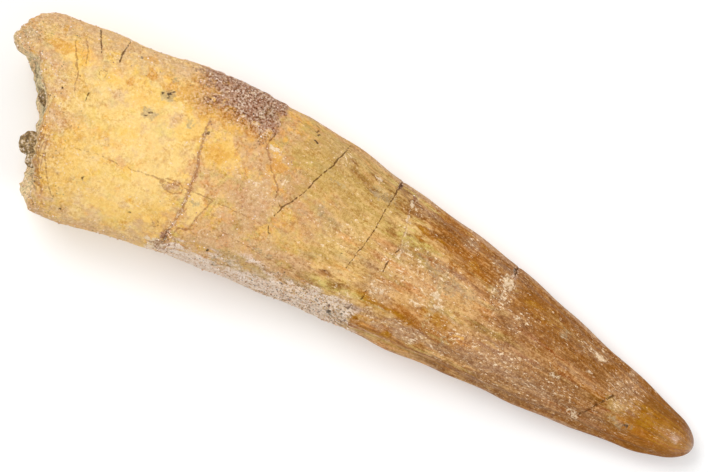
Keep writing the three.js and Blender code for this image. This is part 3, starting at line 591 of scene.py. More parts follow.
def closed_mesh(name, grid, start, end):
    """A closed skin over rows of points, from a point before the first row to one after the last. Each
    row turns right-handed about the direction back to the start."""
    rows, columns = grid.shape[:2]
    points = np.concatenate([[start], grid.reshape(-1, 3), [end]])
    at = 1 + np.arange(rows * columns).reshape(rows, columns)
    after = np.roll(at, -1, axis=1)
    quads = np.stack([at[:-1], at[1:], after[1:], after[:-1]], -1).reshape(-1, 4)
    first = np.stack([np.zeros(columns, int), at[0], after[0]], -1)
    last = np.stack([at[-1], np.full(columns, len(points) - 1), after[-1]], -1)
    mesh = bpy.data.meshes.new(name)
    mesh.from_pydata(points.tolist(), [], [*first.tolist(), *quads.tolist(), *last.tolist()])
    mesh.shade_smooth()
    return mesh


def write_vectors(mesh, name, values):
    """Keeps three numbers for each vertex under a name that a material can read."""
    mesh.attributes.new(name, "FLOAT_VECTOR", "POINT").data.foreach_set("vector", values.ravel())


def points_of(mesh):
    points = np.empty(len(mesh.vertices) * 3)
    mesh.vertices.foreach_get("co", points)
    return points.reshape(-1, 3)


def normals_of(mesh):
    normals = np.empty(len(mesh.vertices) * 3)
    mesh.vertex_normals.foreach_get("vector", normals)
    return normals.reshape(-1, 3)


def place_points(mesh, points):
    mesh.vertices.foreach_set("co", points.ravel())
    mesh.update()


def shown_object(mesh, material):
    mesh.materials.clear()
    mesh.materials.append(material)
    made = bpy.data.objects.new(mesh.name, mesh)
    bpy.context.scene.collection.objects.link(made)
    return made


def plain_mesh(made, name):
    """The object's shape with its modifiers, as a mesh of its own. The object is removed."""
    bpy.context.view_layer.update()
    evaluated = made.evaluated_get(bpy.context.evaluated_depsgraph_get())
    mesh = bpy.data.meshes.new_from_object(evaluated)
    bpy.data.objects.remove(made)
    mesh.name = name
    return mesh


def tooth_rows(angles):
    """The x of each point of the grid, and each row's inset and share of the full section."""
    rows = []

    def add(x, inset=0.0, tip=1.0):
        rows.append((np.broadcast_to(x, angles.shape), inset, tip))

    for i in range(1, CAP_ROWS + 1):
        turn = math.pi / 2 * (1 - i / CAP_ROWS)
        add(TIP_X - TIP_ROUND * (1 - math.sin(turn)), tip=math.cos(turn))

    def body_density(x):
        fine = sum(step(low - 0.5, low, x) * (1 - step(high, high + 0.5, x)) for low, high in FINE_STRETCHES)
        return 1 + (FINE_DENSITY - 1) * fine

    for x in spaced(TIP_X - TIP_ROUND, BODY_END_X, BODY_ROWS + 1, body_density)[1:]:
        add(x)
    rim = BROKEN_RIM(angles)
    for i in range(1, ROOT_ROWS + 1):
        add(BODY_END_X + (rim + RIM_ROLL - BODY_END_X) * i / ROOT_ROWS)
    for i in range(1, ROLL_ROWS + 1):
        turn = math.pi / 2 * i / ROLL_ROWS
        add(rim + RIM_ROLL * (1 - math.sin(turn)), inset=RIM_INSET * (1 - math.cos(turn)))
    for i in range(1, BREAK_ROWS + 1):
        share = i / BREAK_ROWS
        add(rim + RIM_HOLLOW * share, inset=RIM_INSET + (WALL - RIM_INSET) * share)
    depths, narrowings = np.array(CAVITY_NARROWS).T
    for i in range(1, CAVITY_ROWS + 1):
        depth = i / CAVITY_ROWS
        x = rim + RIM_HOLLOW + (CAVITY_FLOOR_X - rim - RIM_HOLLOW) * depth
        add(x, inset=WALL + np.interp(depth, depths, narrowings))
    xs, insets, tips = zip(*rows)
    return np.array(xs), np.array(insets)[:, None], np.array(tips)[:, None]


def mask_attribute(number):
    """The attribute that holds the mask of that number and the two after it."""
    return f"masks_{number // 3}"


def fine_relief(sizes, x, place, growth, masks, lines, upper):
    """How far the fine forms stand out of the skin, or lie under it."""
    crown = masks["crown"]
    out = sizes.stria / MM * crown * (1 - 0.7 * masks["gold"]) * noise(growth, *UNEVENNESS["striae"])
    out += sizes.root_roughness / MM * (1 - 0.8 * crown) * noise(place, *UNEVENNESS["root"])
    lumpy = noise(place * (1, 1, 0.5), *UNEVENNESS["crust"])
    out += sizes.crust / MM * masks["crimson"] * (0.4 + 0.5 * lumpy)
    out += sizes.sand_relief / MM * masks["sand"] * noise(place, *UNEVENNESS["dentine"])
    out += CHALK_HEIGHT * masks["chalk"] * (1 + noise(place, *UNEVENNESS["chalk"]))
    out += ROSE_ROUGHNESS * masks["rose"] * (1 - crown) * noise(place, *UNEVENNESS["rose"])
    out -= SPECK_DEPTH * np.clip(masks["dark"], 0, 1)
    out += masks["rim"] * RIM_ROUGHNESS * noise(place, *UNEVENNESS["rim"])
    for name, (_, _, depth) in LINE_SHAPE.items():
        way_x, way_y, width = np.moveaxis(lines[name], -1, 0)
        groove = np.exp(-((np.hypot(way_x, way_y) / CRACK_SPREAD) ** 2))
        out -= sizes.crack_depth / MM * depth * groove * np.clip(width / CRACK_WIDTH, 0, 1.5)
    for pit_x, pit_y, radius in PITS:
        away = np.hypot(x - pit_x, place[..., 1] - pit_y) / radius
        out -= PIT_DEPTH * upper * np.clip(1 - away**2, 0, 1)
    return out


def grain_share(masks, rust, place, wall):
    """How thick the loose sand lies, 0 to 1: on crusts, in the ring crack and on the broken wall."""
    crown = masks["crown"]
    in_crack = swell(np.hypot(rust[..., 0], rust[..., 1]), 0.4) * (rust[..., 2] > CRACK_WIDTH)
    share = SAND_COVER["crimson"] * np.clip(masks["crimson"], 0, 1) + SAND_COVER["sand"] * masks["sand"]
    share += SAND_COVER["rose"] * masks["rose"] * (1 - crown)
    share += SAND_COVER["rim"] * masks["rim"] * (1 - masks["broken"]) + SAND_COVER["ring_crack"] * in_crack
    share += SAND_COVER["broken"] * masks["broken"] * wall
    # None where the tooth lies on the floor.
    return np.clip(share * step(0.2, 0.8, place[..., 2]), 0, 1)


def tooth_mesh(sizes):
    """The tooth's fine skin in mm, with its masks as named attributes."""
    angles = spaced(
        0, 360, COLUMNS + 1,
        lambda angle: 1 + (UPPER_DENSITY - 1) * step(-0.2, 0.2, np.sin(np.radians(angle))),
    )[:-1]
    x, inset, tip = tooth_rows(angles)
    angle = np.broadcast_to(angles, x.shape)
    place, facing = skin(x, angle, inset, tip)
    across, up = oval(angle)
    upper = upper_share(angle)
    from_rim = x - BROKEN_RIM(angle)

    stray_x = PATCH_STRAY * noise(place, *UNEVENNESS["patch_x"])
    stray_y = PATCH_STRAY * noise(place, *UNEVENNESS["patch_y"])
    masks = stain_masks(x + stray_x, place[..., 1] + stray_y, across + BAND_STRAY * stray_y, angle)
    masks["edge"] = upper * band_mask(BANDS["edge"], x, across + EDGE_STRAY * stray_x)
    masks["edge"] *= step(-0.9, 0.3, noise(place * (0.5, 1, 1), *UNEVENNESS["edge"]))
    masks["broken"] = step(0.4 * RIM_INSET, RIM_INSET, inset)
    masks["crown"] = step(*CROWN_RISE, x)
    masks["weathered"] = swell(from_rim, WEATHERED_REACH) * upper
    masks["rim"] = swell(from_rim, RIM_REACH)
    lines = surface_lines(x, place[..., 1], upper, LINE_STRAY * noise(place, *UNEVENNESS["line"]))
    growth = np.stack([x / GROWTH_LENGTH, GROWTH_WIDTH * across, GROWTH_WIDTH * up], -1)

    on_skin = 1 - masks["broken"]
    out = fine_relief(sizes, x, place, growth, masks, lines, upper) * on_skin * tip
    place = place + facing * out[..., None]
    ragged = RIM_RAGGED * noise(place, *UNEVENNESS["rim_edge"])
    wall = WALL_ROUGHNESS * noise(place, *UNEVENNESS["wall"]) * masks["broken"]
    place[..., 0] += masks["rim"] * ragged + wall * swell(inset - RIM_INSET, 2.2)
    place[..., 2] = np.maximum(place[..., 2], inset)

    tip_y, tip_z = section(TIP_X)[:2]
    floor_x = CAVITY_FLOOR_X + CAVITY_FLOOR_ROUND
    floor_y, floor_z = section(floor_x)[:2]
    mesh = closed_mesh("fossil_tooth", place, (TIP_X, tip_y, tip_z), (floor_x, floor_y, floor_z))

    def keep(name, field):
        ends = np.zeros((1, 3))
        write_vectors(mesh, name, np.concatenate([ends + field[0, 0], field.reshape(-1, 3), ends]))

    for number in range(0, len(MASKS), 3):
        three = [np.broadcast_to(masks[name], x.shape) for name in MASKS[number:number + 3]]
        three += [np.zeros(x.shape)] * (3 - len(three))
        keep(mask_attribute(number), np.stack(three, -1))
    grains = grain_share(masks, lines["rust_cracks"], place, swell(inset - RIM_INSET, 1.5))
    share = mesh.attributes.new("grain_share", "FLOAT", "POINT")
    share.data.foreach_set("value", np.concatenate([[0], grains.ravel(), [0]]))
    keep("growth", growth)
    lines["dark_cracks"] = np.where((upper > 0.5)[..., None], lines["dark_cracks"], lines["underside_cracks"])
    for name in LINE_STYLE:
        keep(name, lines[name])
    return mesh


def solid_shift():
    """How far the solid tooth lies from this file's own millimetres, in x and y."""
    low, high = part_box("tooth")
    x = np.linspace(-TIP_X, TIP_X, 400)[:, None]
    place, _ = skin(x, np.arange(0, 360, 360 / SOLID_COLUMNS)[None])
    middle_y = (place[..., 1].min() + place[..., 1].max()) / 2
    return np.array([(low.x + high.x) / 2 / MM, (low.y + high.y) / 2 / MM - middle_y, 0])


def to_frame(mesh):
    """Puts a mesh in mm where the solids are, in metres."""
    place_points(mesh, (points_of(mesh) + solid_shift()) * MM)


# ---------------------------------------------------------------- nodes


NOISE_SPREAD = 0.28  # how far one octave of the noise texture strays from 0.5


class Nodes:
    """Adds nodes to a tree. An input is given as a value or as the output that it reads."""

    def __init__(self, tree):
        self.tree = tree

    def add(self, kind, inputs, output=0, **settings):
        node = self.tree.nodes.new(kind)
        for name, value in settings.items():
            setattr(node, name, value)
        for name, value in inputs.items():
            if isinstance(value, bpy.types.NodeSocket):
                self.tree.links.new(value, node.inputs[name])
            else:
                node.inputs[name].default_value = value
        return node.outputs[output] if node.outputs else None

    def math(self, operation, *values):
        return self.add("ShaderNodeMath", dict(enumerate(values)), operation=operation)

    def times(self, first, *others):
        for other in others:
            first = self.math("MULTIPLY", first, other)
        return first

    def plus(self, first, *others):
        for other in others:
            first = self.math("ADD", first, other)
        return first

    def minus(self, first, second):
        return self.math("SUBTRACT", first, second)

    def greatest(self, first, *others):
        for other in others:
            first = self.math("MAXIMUM", first, other)
        return first

    def mix(self, share, first, second, blend_type="MIX"):
        inputs = {0: share, 6: first, 7: second}
        return self.add("ShaderNodeMix", inputs, 2, data_type="RGBA", blend_type=blend_type)

    def scale(self, vector, factors):
        inputs = {"Vector": vector, "Scale": factors}
        return self.add("ShaderNodeMapping", inputs, vector_type="POINT")

    def noise(self, vector, size, detail=4, roughness=0.6, seed=0):
        """Noise spread over 0 to 1, of about the given size. Another seed gives another noise."""
        octaves = [roughness**i for i in range(detail + 1)]
        spread = NOISE_SPREAD * math.hypot(*octaves) / sum(octaves)
        start = (13.7 * seed, 7.9 * seed, 3.1 * seed)
        shifted = self.add("ShaderNodeMapping", {"Vector": vector, "Location": start})
        inputs = {"Vector": shifted, "Scale": 1 / size, "Detail": detail, "Roughness": roughness}
        value = self.add("ShaderNodeTexNoise", inputs)
        inputs = {"Value": value, "From Min": 0.5 - spread, "From Max": 0.5 + spread}
        return self.add("ShaderNodeMapRange", inputs)

    def rise(self, value, start, end):
        """0 at start and 1 at end, with a smooth slope between."""
        inputs = {"Value": value, "From Min": start, "From Max": end}
        return self.add("ShaderNodeMapRange", inputs, interpolation_type="SMOOTHSTEP")

    def between(self, value, start, end):
        """A 0 to 1 value spread over start to end."""
        return self.add("ShaderNodeMapRange", {"Value": value, "To Min": start, "To Max": end})

    def attribute(self, name):
        return self.add("ShaderNodeAttribute", {}, 1, attribute_name=name)

    def parts(self, vector):
        node = self.add("ShaderNodeSeparateXYZ", {"Vector": vector}).node
        return node.outputs

    def group(self, tree, inputs, output=0):
        return self.add("ShaderNodeGroup", inputs, output, node_tree=tree)

    def ramp(self, value, stops):
        """A colour for each value between the stops, each (value, colour)."""
        node = self.add("ShaderNodeValToRGB", {"Fac": value}).node
        elements = node.color_ramp.elements
        elements[0].position, elements[0].color = stops[0]
        elements[1].position, elements[1].color = stops[-1]
        for position, colour in stops[1:-1]:
            elements.new(position).color = colour
        return node.outputs[0]


def shader_group(name, inputs, outputs):
    """An empty node group with named float, vector or colour sockets, its reader and its outputs' node."""
    tree = bpy.data.node_groups.new(name, "ShaderNodeTree")
    for socket_name, (kind, default) in inputs.items():
        socket = tree.interface.new_socket(socket_name, in_out="INPUT", socket_type=f"NodeSocket{kind}")
        if default is not None:
            socket.default_value = default
    for socket_name, kind in outputs.items():
        tree.interface.new_socket(socket_name, in_out="OUTPUT", socket_type=f"NodeSocket{kind}")
    given = tree.nodes.new("NodeGroupInput")
    result = tree.nodes.new("NodeGroupOutput")
    return tree, Nodes(tree), given.outputs, result.inputs


def ragged_patch_group():
    """Gives a soft mask an edge broken up by noise."""
    inputs = {"Mask": ("Float", 0), "Noise": ("Float", 0.5), "Breakup": ("Float", 1),
              "Softness": ("Float", 0.2)}
    tree, nodes, given, result = shader_group("ragged_patch", inputs, {"Mask": "Float"})
    shift = nodes.times(nodes.minus(given["Noise"], 0.5), given["Breakup"])
    # Where there is no mask at all the noise can't make one.
    held = nodes.times(shift, nodes.rise(given["Mask"], 0.02, 0.3))
    start, end = nodes.minus(0.5, given["Softness"]), nodes.plus(0.5, given["Softness"])
    tree.links.new(nodes.rise(nodes.plus(given["Mask"], held), start, end), result["Mask"])
    return tree


def line_group():
    """A line where the way to it is shorter than its half width, with an uneven edge. Sizes are in mm."""
    inputs = {"Line": ("Vector", None), "Noise": ("Float", 0.5), "Unevenness": ("Float", 0.1),
              "Softness": ("Float", 0.06)}
    tree, nodes, given, result = shader_group("line", inputs, {"Mask": "Float"})
    way_x, way_y, width = nodes.parts(given["Line"])
    length = nodes.math("SQRT", nodes.plus(nodes.times(way_x, way_x), nodes.times(way_y, way_y)))
    uneven = nodes.times(nodes.minus(given["Noise"], 0.5), given["Unevenness"])
    # A line fades out with its width, so that noise draws nothing where there is none.
    uneven = nodes.times(uneven, nodes.rise(width, 0.0, 0.05))
    inside = nodes.minus(nodes.plus(width, uneven), length)
    tree.links.new(nodes.rise(inside, 0.0, given["Softness"]), result["Mask"])
    return tree


def grit_group():
    """Sand and dust of a given grain, in mm: an overall tone, pale grains, dark grains and a height."""
    inputs = {"Place": ("Vector", None), "Grain": ("Float", 0.3)}
    outputs = {"Tone": "Float", "Pale": "Float", "Dark": "Float", "Height": "Float"}
    tree, nodes, given, result = shader_group("grit", inputs, outputs)
    rate = nodes.math("DIVIDE", 1.0, given["Grain"])
    settings = {"Vector": given["Place"], "Scale": rate, "Detail": 4.0, "Roughness": 0.65}
    tone = nodes.rise(nodes.add("ShaderNodeTexNoise", settings), 0.25, 0.75)
    cells = nodes.add("ShaderNodeTexVoronoi", {"Vector": given["Place"], "Scale": rate})
    colour = cells.node.outputs["Color"]
    red, green, _ = nodes.add("ShaderNodeSeparateColor", {"Color": colour}).node.outputs
    centre = nodes.minus(1.0, nodes.rise(cells, 0.25, 0.5))
    pale = nodes.times(centre, nodes.rise(red, 0.72, 0.78))
    dark = nodes.times(centre, nodes.rise(green, 0.84, 0.9))
    height = nodes.plus(tone, nodes.times(centre, 0.35))
    for name, value in {"Tone": tone, "Pale": pale, "Dark": dark, "Height": height}.items():
        tree.links.new(value, result[name])
    return tree


def shared_group(build):
    """The node group that a function builds, made once."""
    name = build.__name__.removesuffix("_group")
    return bpy.data.node_groups.get(name) or build()


# ---------------------------------------------------------------- materials


def new_material(name):
    material = bpy.data.materials.new(name)
    material.use_nodes = True
    tree = material.node_tree
    tree.nodes.clear()
    return material, Nodes(tree)


SHEEN = 0.06  # specular level of fossil, stone and sand
COAT_ROUGHNESS = 0.2


def finish_material(nodes, colour, roughness, height, bump, polish=0.0):
    """The surface shader. Bump is the height's size in metres."""
    normal = nodes.add("ShaderNodeBump", {"Height": height, "Strength": 1.0, "Distance": bump})
    inputs = {"Base Color": colour, "Roughness": roughness, "Normal": normal, "Specular IOR Level": SHEEN,
              "Coat Weight": polish, "Coat Roughness": COAT_ROUGHNESS}
    surface = nodes.add("ShaderNodeBsdfPrincipled", inputs)
    nodes.add("ShaderNodeOutputMaterial", {"Surface": surface})


def place_in_mm(nodes):
    place = nodes.add("ShaderNodeTexCoord", {}, "Object")
    return nodes.scale(place, (1 / MM, 1 / MM, 1 / MM))


def colour_of(settings, name):
    return (*getattr(settings, name), 1.0)


def tinted(nodes, colour, light):
    """A colour made lighter or darker by a factor."""
    grey = nodes.add("ShaderNodeCombineColor", {"Red": light, "Green": light, "Blue": light})
    return nodes.mix(1.0, colour, grey, "MULTIPLY")


# Noises of the fossil's finish: what each follows and how that is scaled, its size in mm, its octaves and
# their roughness, and its seed.
NOISES = {
    "broad": ("place", None, 3.4, 3, 0.5, 0),
    "patchy": ("place", None, 1.3, 5, 0.6, 1),
    "fine": ("place", None, 0.42, 4, 0.7, 2),
    "along": ("growth", (2.4, 1, 1), 1.1, 5, 0.6, 3),
    "streak": ("growth", (1.6, 1, 1), 0.45, 4, 0.6, 4),
    "even_wear": ("place", (1, 1, 0.5), 0.4, 3, 0.9, 30),
    "drawn_wear": ("growth", (3.0, 1, 1), 0.38, 3, 0.9, 31),
    "clusters": ("place", None, 1.7, 4, 0.6, 33),
    "rubble": ("place", (0.9, 1, 0.5), 0.3, 4, 0.8, 32),
    "haze": ("place", (1, 1, 0.5), 0.32, 3, 0.9, 34),
    "scuffs": ("growth", (5.0, 1, 1), 0.34, 4, 0.7, 22),
}
# Regions along the tooth. Each one's mask is a product of slopes, from the x where it is 0 to where it is 1.
REGIONS = {
    "root": [(-14.0, -27.0)], "shaft": [(45.0, 37.0)], "low": [(-16.0, -9.0), (9.0, 2.0)],
    "neck": [(-27.0, -20.0), (0.0, -12.0)],
}
# How each stain lies: the noise that breaks its edge, how far, how soft that edge is, how much it covers,
# and a second colour with how much of it is mixed in.
LAYER_STYLE = {
    "sand": ("along", 1.3, 0.3, 0.95, "rose", 0.3), "rose": ("patchy", 1.1, 0.45, 0.75, "root_end", 0.6),
    "ochre": ("patchy", 1.3, 0.5, 0.75, "root", 0.4), "cream": ("patchy", 1.3, 0.4, 0.8, "root", 0.4),
    "olive": ("along", 1.3, 0.5, 0.75, "low_crown", 0.5), "amber": ("along", 1.2, 0.5, 0.95, "copper", 0.7),
    "mauve": ("along", 1.5, 0.5, 0.75, "mid_crown", 0.4), "brown": ("along", 1.3, 0.5, 0.8, "amber", 0.5),
    "gold": ("along", 1.4, 0.5, 0.8, "copper", 0.7), "edge": ("along", 1, 0.35, 0.65, "mauve", 0.5),
    "crimson": ("patchy", 1.1, 0.3, 0.95, "rust", 0.5), "orange": ("patchy", 1, 0.35, 0.8, "ochre", 0.5),
    "grey": ("fine", 1.3, 0.4, 0.6, "cream", 0.4), "chalk": ("fine", 1.3, 0.32, 0.85, "scuff", 0.6),
    "dark": ("fine", 1, 0.2, 0.9, "rust", 0.3),
}
# The marks along each kind of line: their colour, how uneven and how soft their edge is, in mm, and their
# cover. The underside's cracks are kept with the dark ones.
LINE_STYLE = {
    "creases": ("rust", 0.2, 0.08, 0.6), "pale_seams": ("scuff", 0.25, 0.14, 0.4),
    "rust_cracks": ("rust", 0.25, 0.14, 0.7), "dark_cracks": ("crack", 0.16, 0.06, 0.85),
}
# Mottling: where it lies, its colour, how that is laid on, its size in mm, how it is drawn out along the
# tooth (0 is not at all, and less is longer), where its noise starts to show and where it shows in full,
# and how much it covers.
MOTTLES = [
    ("root", "ochre", "MIX", 4.2, 0, 0.4, 0.8, 0.9), ("root", "cream", "MIX", 3.2, 0, 0.5, 0.85, 0.7),
    ("root", "rose", "MIX", 2.6, 0, 0.55, 0.9, 0.5), ("root", "orange", "MIX", 1.3, 0, 0.75, 1, 0.3),
    ("root", "pale", "MIX", 0.9, 0, 0.5, 0.95, 0.4), ("root", "rose", "MIX", 0.6, 0, 0.6, 0.95, 0.3),
    ("neck", "ochre", "MIX", 2.8, 0, 0.55, 0.9, 0.6), ("neck", "rose", "MIX", 0.5, 0, 0.45, 0.9, 0.6),
    ("neck", "orange", "MIX", 0.7, 0, 0.6, 0.95, 0.4),
    ("neck", "umber", "MULTIPLY", 0.35, 0, 0.5, 0.9, 0.5),
    ("root", "lime", "MIX", 2.2, 0, 0.55, 0.95, 0.25), ("low", "orange", "MIX", 1.6, 3, 0.6, 0.95, 0.3),
    ("low", "lime", "MIX", 1.8, 3, 0.4, 0.85, 0.4), ("low", "grey", "MIX", 1.1, 3, 0.6, 0.95, 0.35),
    ("weathered", "rose", "MIX", 1.8, 0, 0.4, 0.8, 0.7),
    ("weathered", "orange", "MIX", 1.1, 0, 0.6, 0.9, 0.6),
    ("weathered", "rust", "MIX", 0.7, 0, 0.7, 0.95, 0.3),
    ("weathered", "cream", "MIX", 0.9, 0, 0.55, 0.9, 0.5),
    ("root", "moss", "MULTIPLY", 2.6, 0, 0.55, 0.9, 0.2),
    ("root", "russet", "MULTIPLY", 2, 0, 0.55, 0.9, 0.35),
    ("neck", "moss", "MULTIPLY", 1.6, 0, 0.5, 0.9, 0.5),
    ("neck", "russet", "MULTIPLY", 1.3, 0, 0.5, 0.9, 0.5),
    ("crown", "copper", "MIX", 3.2, 2, 0.55, 0.9, 0.45), ("crown", "gold", "MIX", 2.6, 3, 0.6, 0.95, 0.35),
    ("crown", "moss", "MULTIPLY", 2.2, 1.6, 0.45, 0.85, 0.8),
    ("crown", "russet", "MULTIPLY", 2, 1.6, 0.5, 0.9, 0.9),
    ("shaft", "mauve", "MIX", 2, 2.4, 0.5, 0.85, 0.45), ("shaft", "buff", "MIX", 0.9, 1, 0.5, 0.9, 0.45),
    ("shaft", "umber", "MULTIPLY", 0.8, 1.2, 0.5, 0.9, 0.3),
    ("crown", "umber", "MULTIPLY", 0.4, 6, 0.55, 0.95, 0.35),
    ("shaft", "buff", "MIX", 0.4, 5, 0.55, 0.95, 0.4),
]
MOTTLE_SEED = 5  # of the first, and each next one's is one more
# The base colour along the tooth, [x, colour].
BASE_STOPS = [
    (-50, "root_end"), (-43, "root_end"), (-36, "root"), (-27, "root"), (-21, "neck"), (-18, "neck"),
    (-14, "shoulder"), (-9, "shoulder"), (-5, "low_crown"), (3, "low_crown"), (8, "mid_crown"),
    (16, "mid_crown"), (24, "high_crown"), (33, "high_crown"), (41, "tip"), (50, "tip"),
]


class FossilFinish(Nodes):
    """The nodes of the fossil's finish, and the places, noises and masks that its coats read."""

    def __init__(self, tree, settings):
        super().__init__(tree)
        self.settings = settings
        self.place = place_in_mm(self)
        self.growth = self.attribute("growth")
        self.x = self.parts(self.place)[0]
        self.noises = {}
        for name, (field, factors, *look) in NOISES.items():
            vector = {"place": self.place, "growth": self.growth}[field]
            self.noises[name] = self.noise(self.scale(vector, factors) if factors else vector, *look)
        grit = self.group(shared_group(grit_group), {"Place": self.place, "Grain": 0.28})
        self.tone, self.pale, self.dark, self.height = grit.node.outputs
        self.masks = {}
        for number in range(0, len(MASKS), 3):
            three = self.parts(self.attribute(mask_attribute(number)))
            self.masks.update(zip(MASKS[number:number + 3], three))
        self.add_regions()

    def add_regions(self):
        """Adds the masks that follow from the others and from the place along the tooth."""
        masks = self.masks
        for name, slopes in REGIONS.items():
            masks[name] = self.times(*[self.rise(self.x, start, end) for start, end in slopes])
        masks["shaft"] = self.times(masks["crown"], masks["shaft"])
        masks["bared"] = self.greatest(masks["sand"], masks["crimson"])
        weathered = self.times(masks["weathered"], 0.6)
        gritty = self.greatest(masks["bared"], self.times(masks["rose"], 0.5), weathered)
        masks["gritty"] = self.math("MINIMUM", self.plus(gritty, 0.06), 1.0)
        drawn_out = self.greatest(self.times(self.minus(masks["crown"], masks["worn"]), 0.5), 0.0)
        mixed = {"Factor": drawn_out, "A": self.noises["even_wear"], "B": self.noises["drawn_wear"]}
        masks["wear"] = self.add("ShaderNodeMix", mixed, data_type="FLOAT")
        common = self.plus(self.times(masks["crown"], 0.02), self.times(masks["worn"], 0.45))
        start = self.between(self.plus(common, self.between(self.noises["patchy"], -0.2, 0.2)), 0.95, 0.35)
        masks["scuffs"] = self.rise(self.noises["scuffs"], start, self.plus(start, 0.15))

    def pigment(self, name):
        return colour_of(self.settings, name)

    def coat(self, colour, mask, name, cover=1.0, blend="MIX"):
        """The colour with another laid over it, as far as the mask and its cover say."""
        share = mask if cover == 1 else self.times(mask, cover)
        return self.mix(share, colour, self.pigment(name), blend)


def base_colour(finish):
    """The colour from the root to the tip, with borders that wander."""
    across, along = finish.noises["broad"], finish.noises["along"]
    drift = finish.plus(finish.between(across, -5.0, 5.0), finish.between(along, -4.0, 4.0))
    share = finish.math("DIVIDE", finish.plus(finish.x, drift, TIP_X), 2.0 * TIP_X)
    return finish.ramp(share, [((x + TIP_X) / (2 * TIP_X), finish.pigment(name)) for x, name in BASE_STOPS])


def mottled(finish, colour):
    """Clouds and flecks of other pigments, each where its noise is high."""
    for seed, (region, name, blend, size, stretch, start, end, cover) in enumerate(MOTTLES, MOTTLE_SEED):
        field = finish.scale(finish.growth, (stretch, 1, 1)) if stretch else finish.place
        mottle = finish.rise(finish.noise(field, size, 5, 0.6, seed), start, end)
        colour = finish.coat(colour, finish.times(mottle, finish.masks[region]), name, cover, blend)
    return colour


def stained(finish, colour):
    """The stains and crusts, each with a ragged edge and dappled with a second pigment."""
    for name, (kind, breakup, softness, cover, second, second_share) in LAYER_STYLE.items():
        inputs = {"Mask": finish.masks[name], "Noise": finish.noises[kind], "Breakup": breakup,
                  "Softness": softness}
        patch = finish.group(shared_group(ragged_patch_group), inputs)
        dapple = finish.rise(finish.noises["streak" if kind == "along" else "patchy"], 0.35, 0.8)
        stain = finish.coat(finish.pigment(name), dapple, second, second_share)
        colour = finish.mix(finish.times(patch, cover), colour, stain)
    return colour


def worn(finish, colour):
    """Dirt and wear at every size: dark and pale, drawn out along the crown."""
    crown, gritty, wear = finish.masks["crown"], finish.masks["gritty"], finish.masks["wear"]
    strength = finish.plus(finish.times(crown, 0.55), finish.times(gritty, 0.5))
    clusters = finish.rise(finish.noises["clusters"], 0.4, 0.9)
    strength = finish.plus(strength, finish.between(clusters, 0.15, 0.45))
    strength = finish.minus(strength, finish.times(finish.minus(crown, finish.masks["shaft"]), 0.4))
    shade = finish.mix(crown, finish.pigment("dust"), finish.pigment("umber"))
    colour = finish.mix(finish.times(finish.rise(wear, 0.72, 0.05), strength), colour, shade, "MULTIPLY")
    paler = finish.plus(finish.times(strength, 0.55), finish.times(finish.masks["root"], 0.2))
    light = finish.mix(crown, finish.pigment("pale"), finish.pigment("buff"))
    light = finish.coat(light, gritty, "scuff")
    return finish.mix(finish.times(finish.rise(wear, 0.5, 1.0), paler), colour, light)


def gritted(finish, colour):
    """Grains and pits in the crust, the bared dentine and the weathered end."""
    gritty, bared, patchy, rubble = (
        finish.masks["gritty"], finish.masks["bared"], finish.noises["patchy"], finish.noises["rubble"],
    )
    clumps = finish.times(gritty, finish.rise(patchy, 0.4, 0.8), finish.minus(1.0, finish.times(bared, 0.5)))
    colour = finish.coat(colour, finish.times(clumps, finish.pale), "grain")
    gaps = finish.times(gritty, finish.rise(patchy, 0.7, 0.2))
    colour = finish.coat(colour, finish.times(gaps, finish.dark), "dark")
    pitted = finish.times(finish.rise(patchy, 0.3, 0.6), finish.rise(finish.x, -13.0, -5.0))
    pitted = finish.times(finish.masks["sand"], pitted)
    pits = finish.times(finish.rise(rubble, 0.6, 0.9), finish.greatest(finish.masks["crimson"], pitted))
    colour = finish.coat(colour, pits, "dirt", blend="MULTIPLY")
    colour = finish.coat(colour, finish.times(pitted, finish.rise(rubble, 0.74, 0.9)), "dark", 0.7)
    flecks = finish.times(finish.rise(rubble, 0.45, 0.12), bared, finish.between(patchy, 0.1, 1.1))
    return finish.coat(colour, flecks, "grain")


def scuffed(finish, colour):
    """Scuffs and chips, thick in worn patches, which are hazy with fine ones."""
    haze = finish.times(finish.noises["haze"], finish.times(finish.masks["worn"], 0.35))
    return finish.coat(finish.coat(colour, haze, "haze"), finish.masks["scuffs"], "scuff", 0.85)


def lined(finish, colour):
    """Cracks, seams and creases, with pale sand strewn along the ring crack."""
    for attribute, (name, uneven, softness, cover) in LINE_STYLE.items():
        line = {"Line": finish.attribute(attribute), "Noise": finish.noises["fine"], "Unevenness": uneven,
                "Softness": softness}
        colour = finish.coat(colour, finish.group(shared_group(line_group), line), name, cover)
    line = {"Line": finish.attribute("rust_cracks"), "Softness": 0.2}
    strewn = finish.group(shared_group(line_group), line)
    strewn = finish.times(strewn, finish.rise(finish.noises["fine"], 0.55, 0.8))
    return finish.coat(colour, strewn, "scuff", 0.7)


def with_broken_wall(finish, colour):
    """Bare, sandy dentine where the root's wall is broken off."""
    wall = finish.mix(finish.noises["patchy"], finish.pigment("broken"), finish.pigment("stone"))
    wall = tinted(finish, wall, finish.between(finish.tone, 0.5, 1.5))
    return finish.mix(finish.masks["broken"], colour, wall)


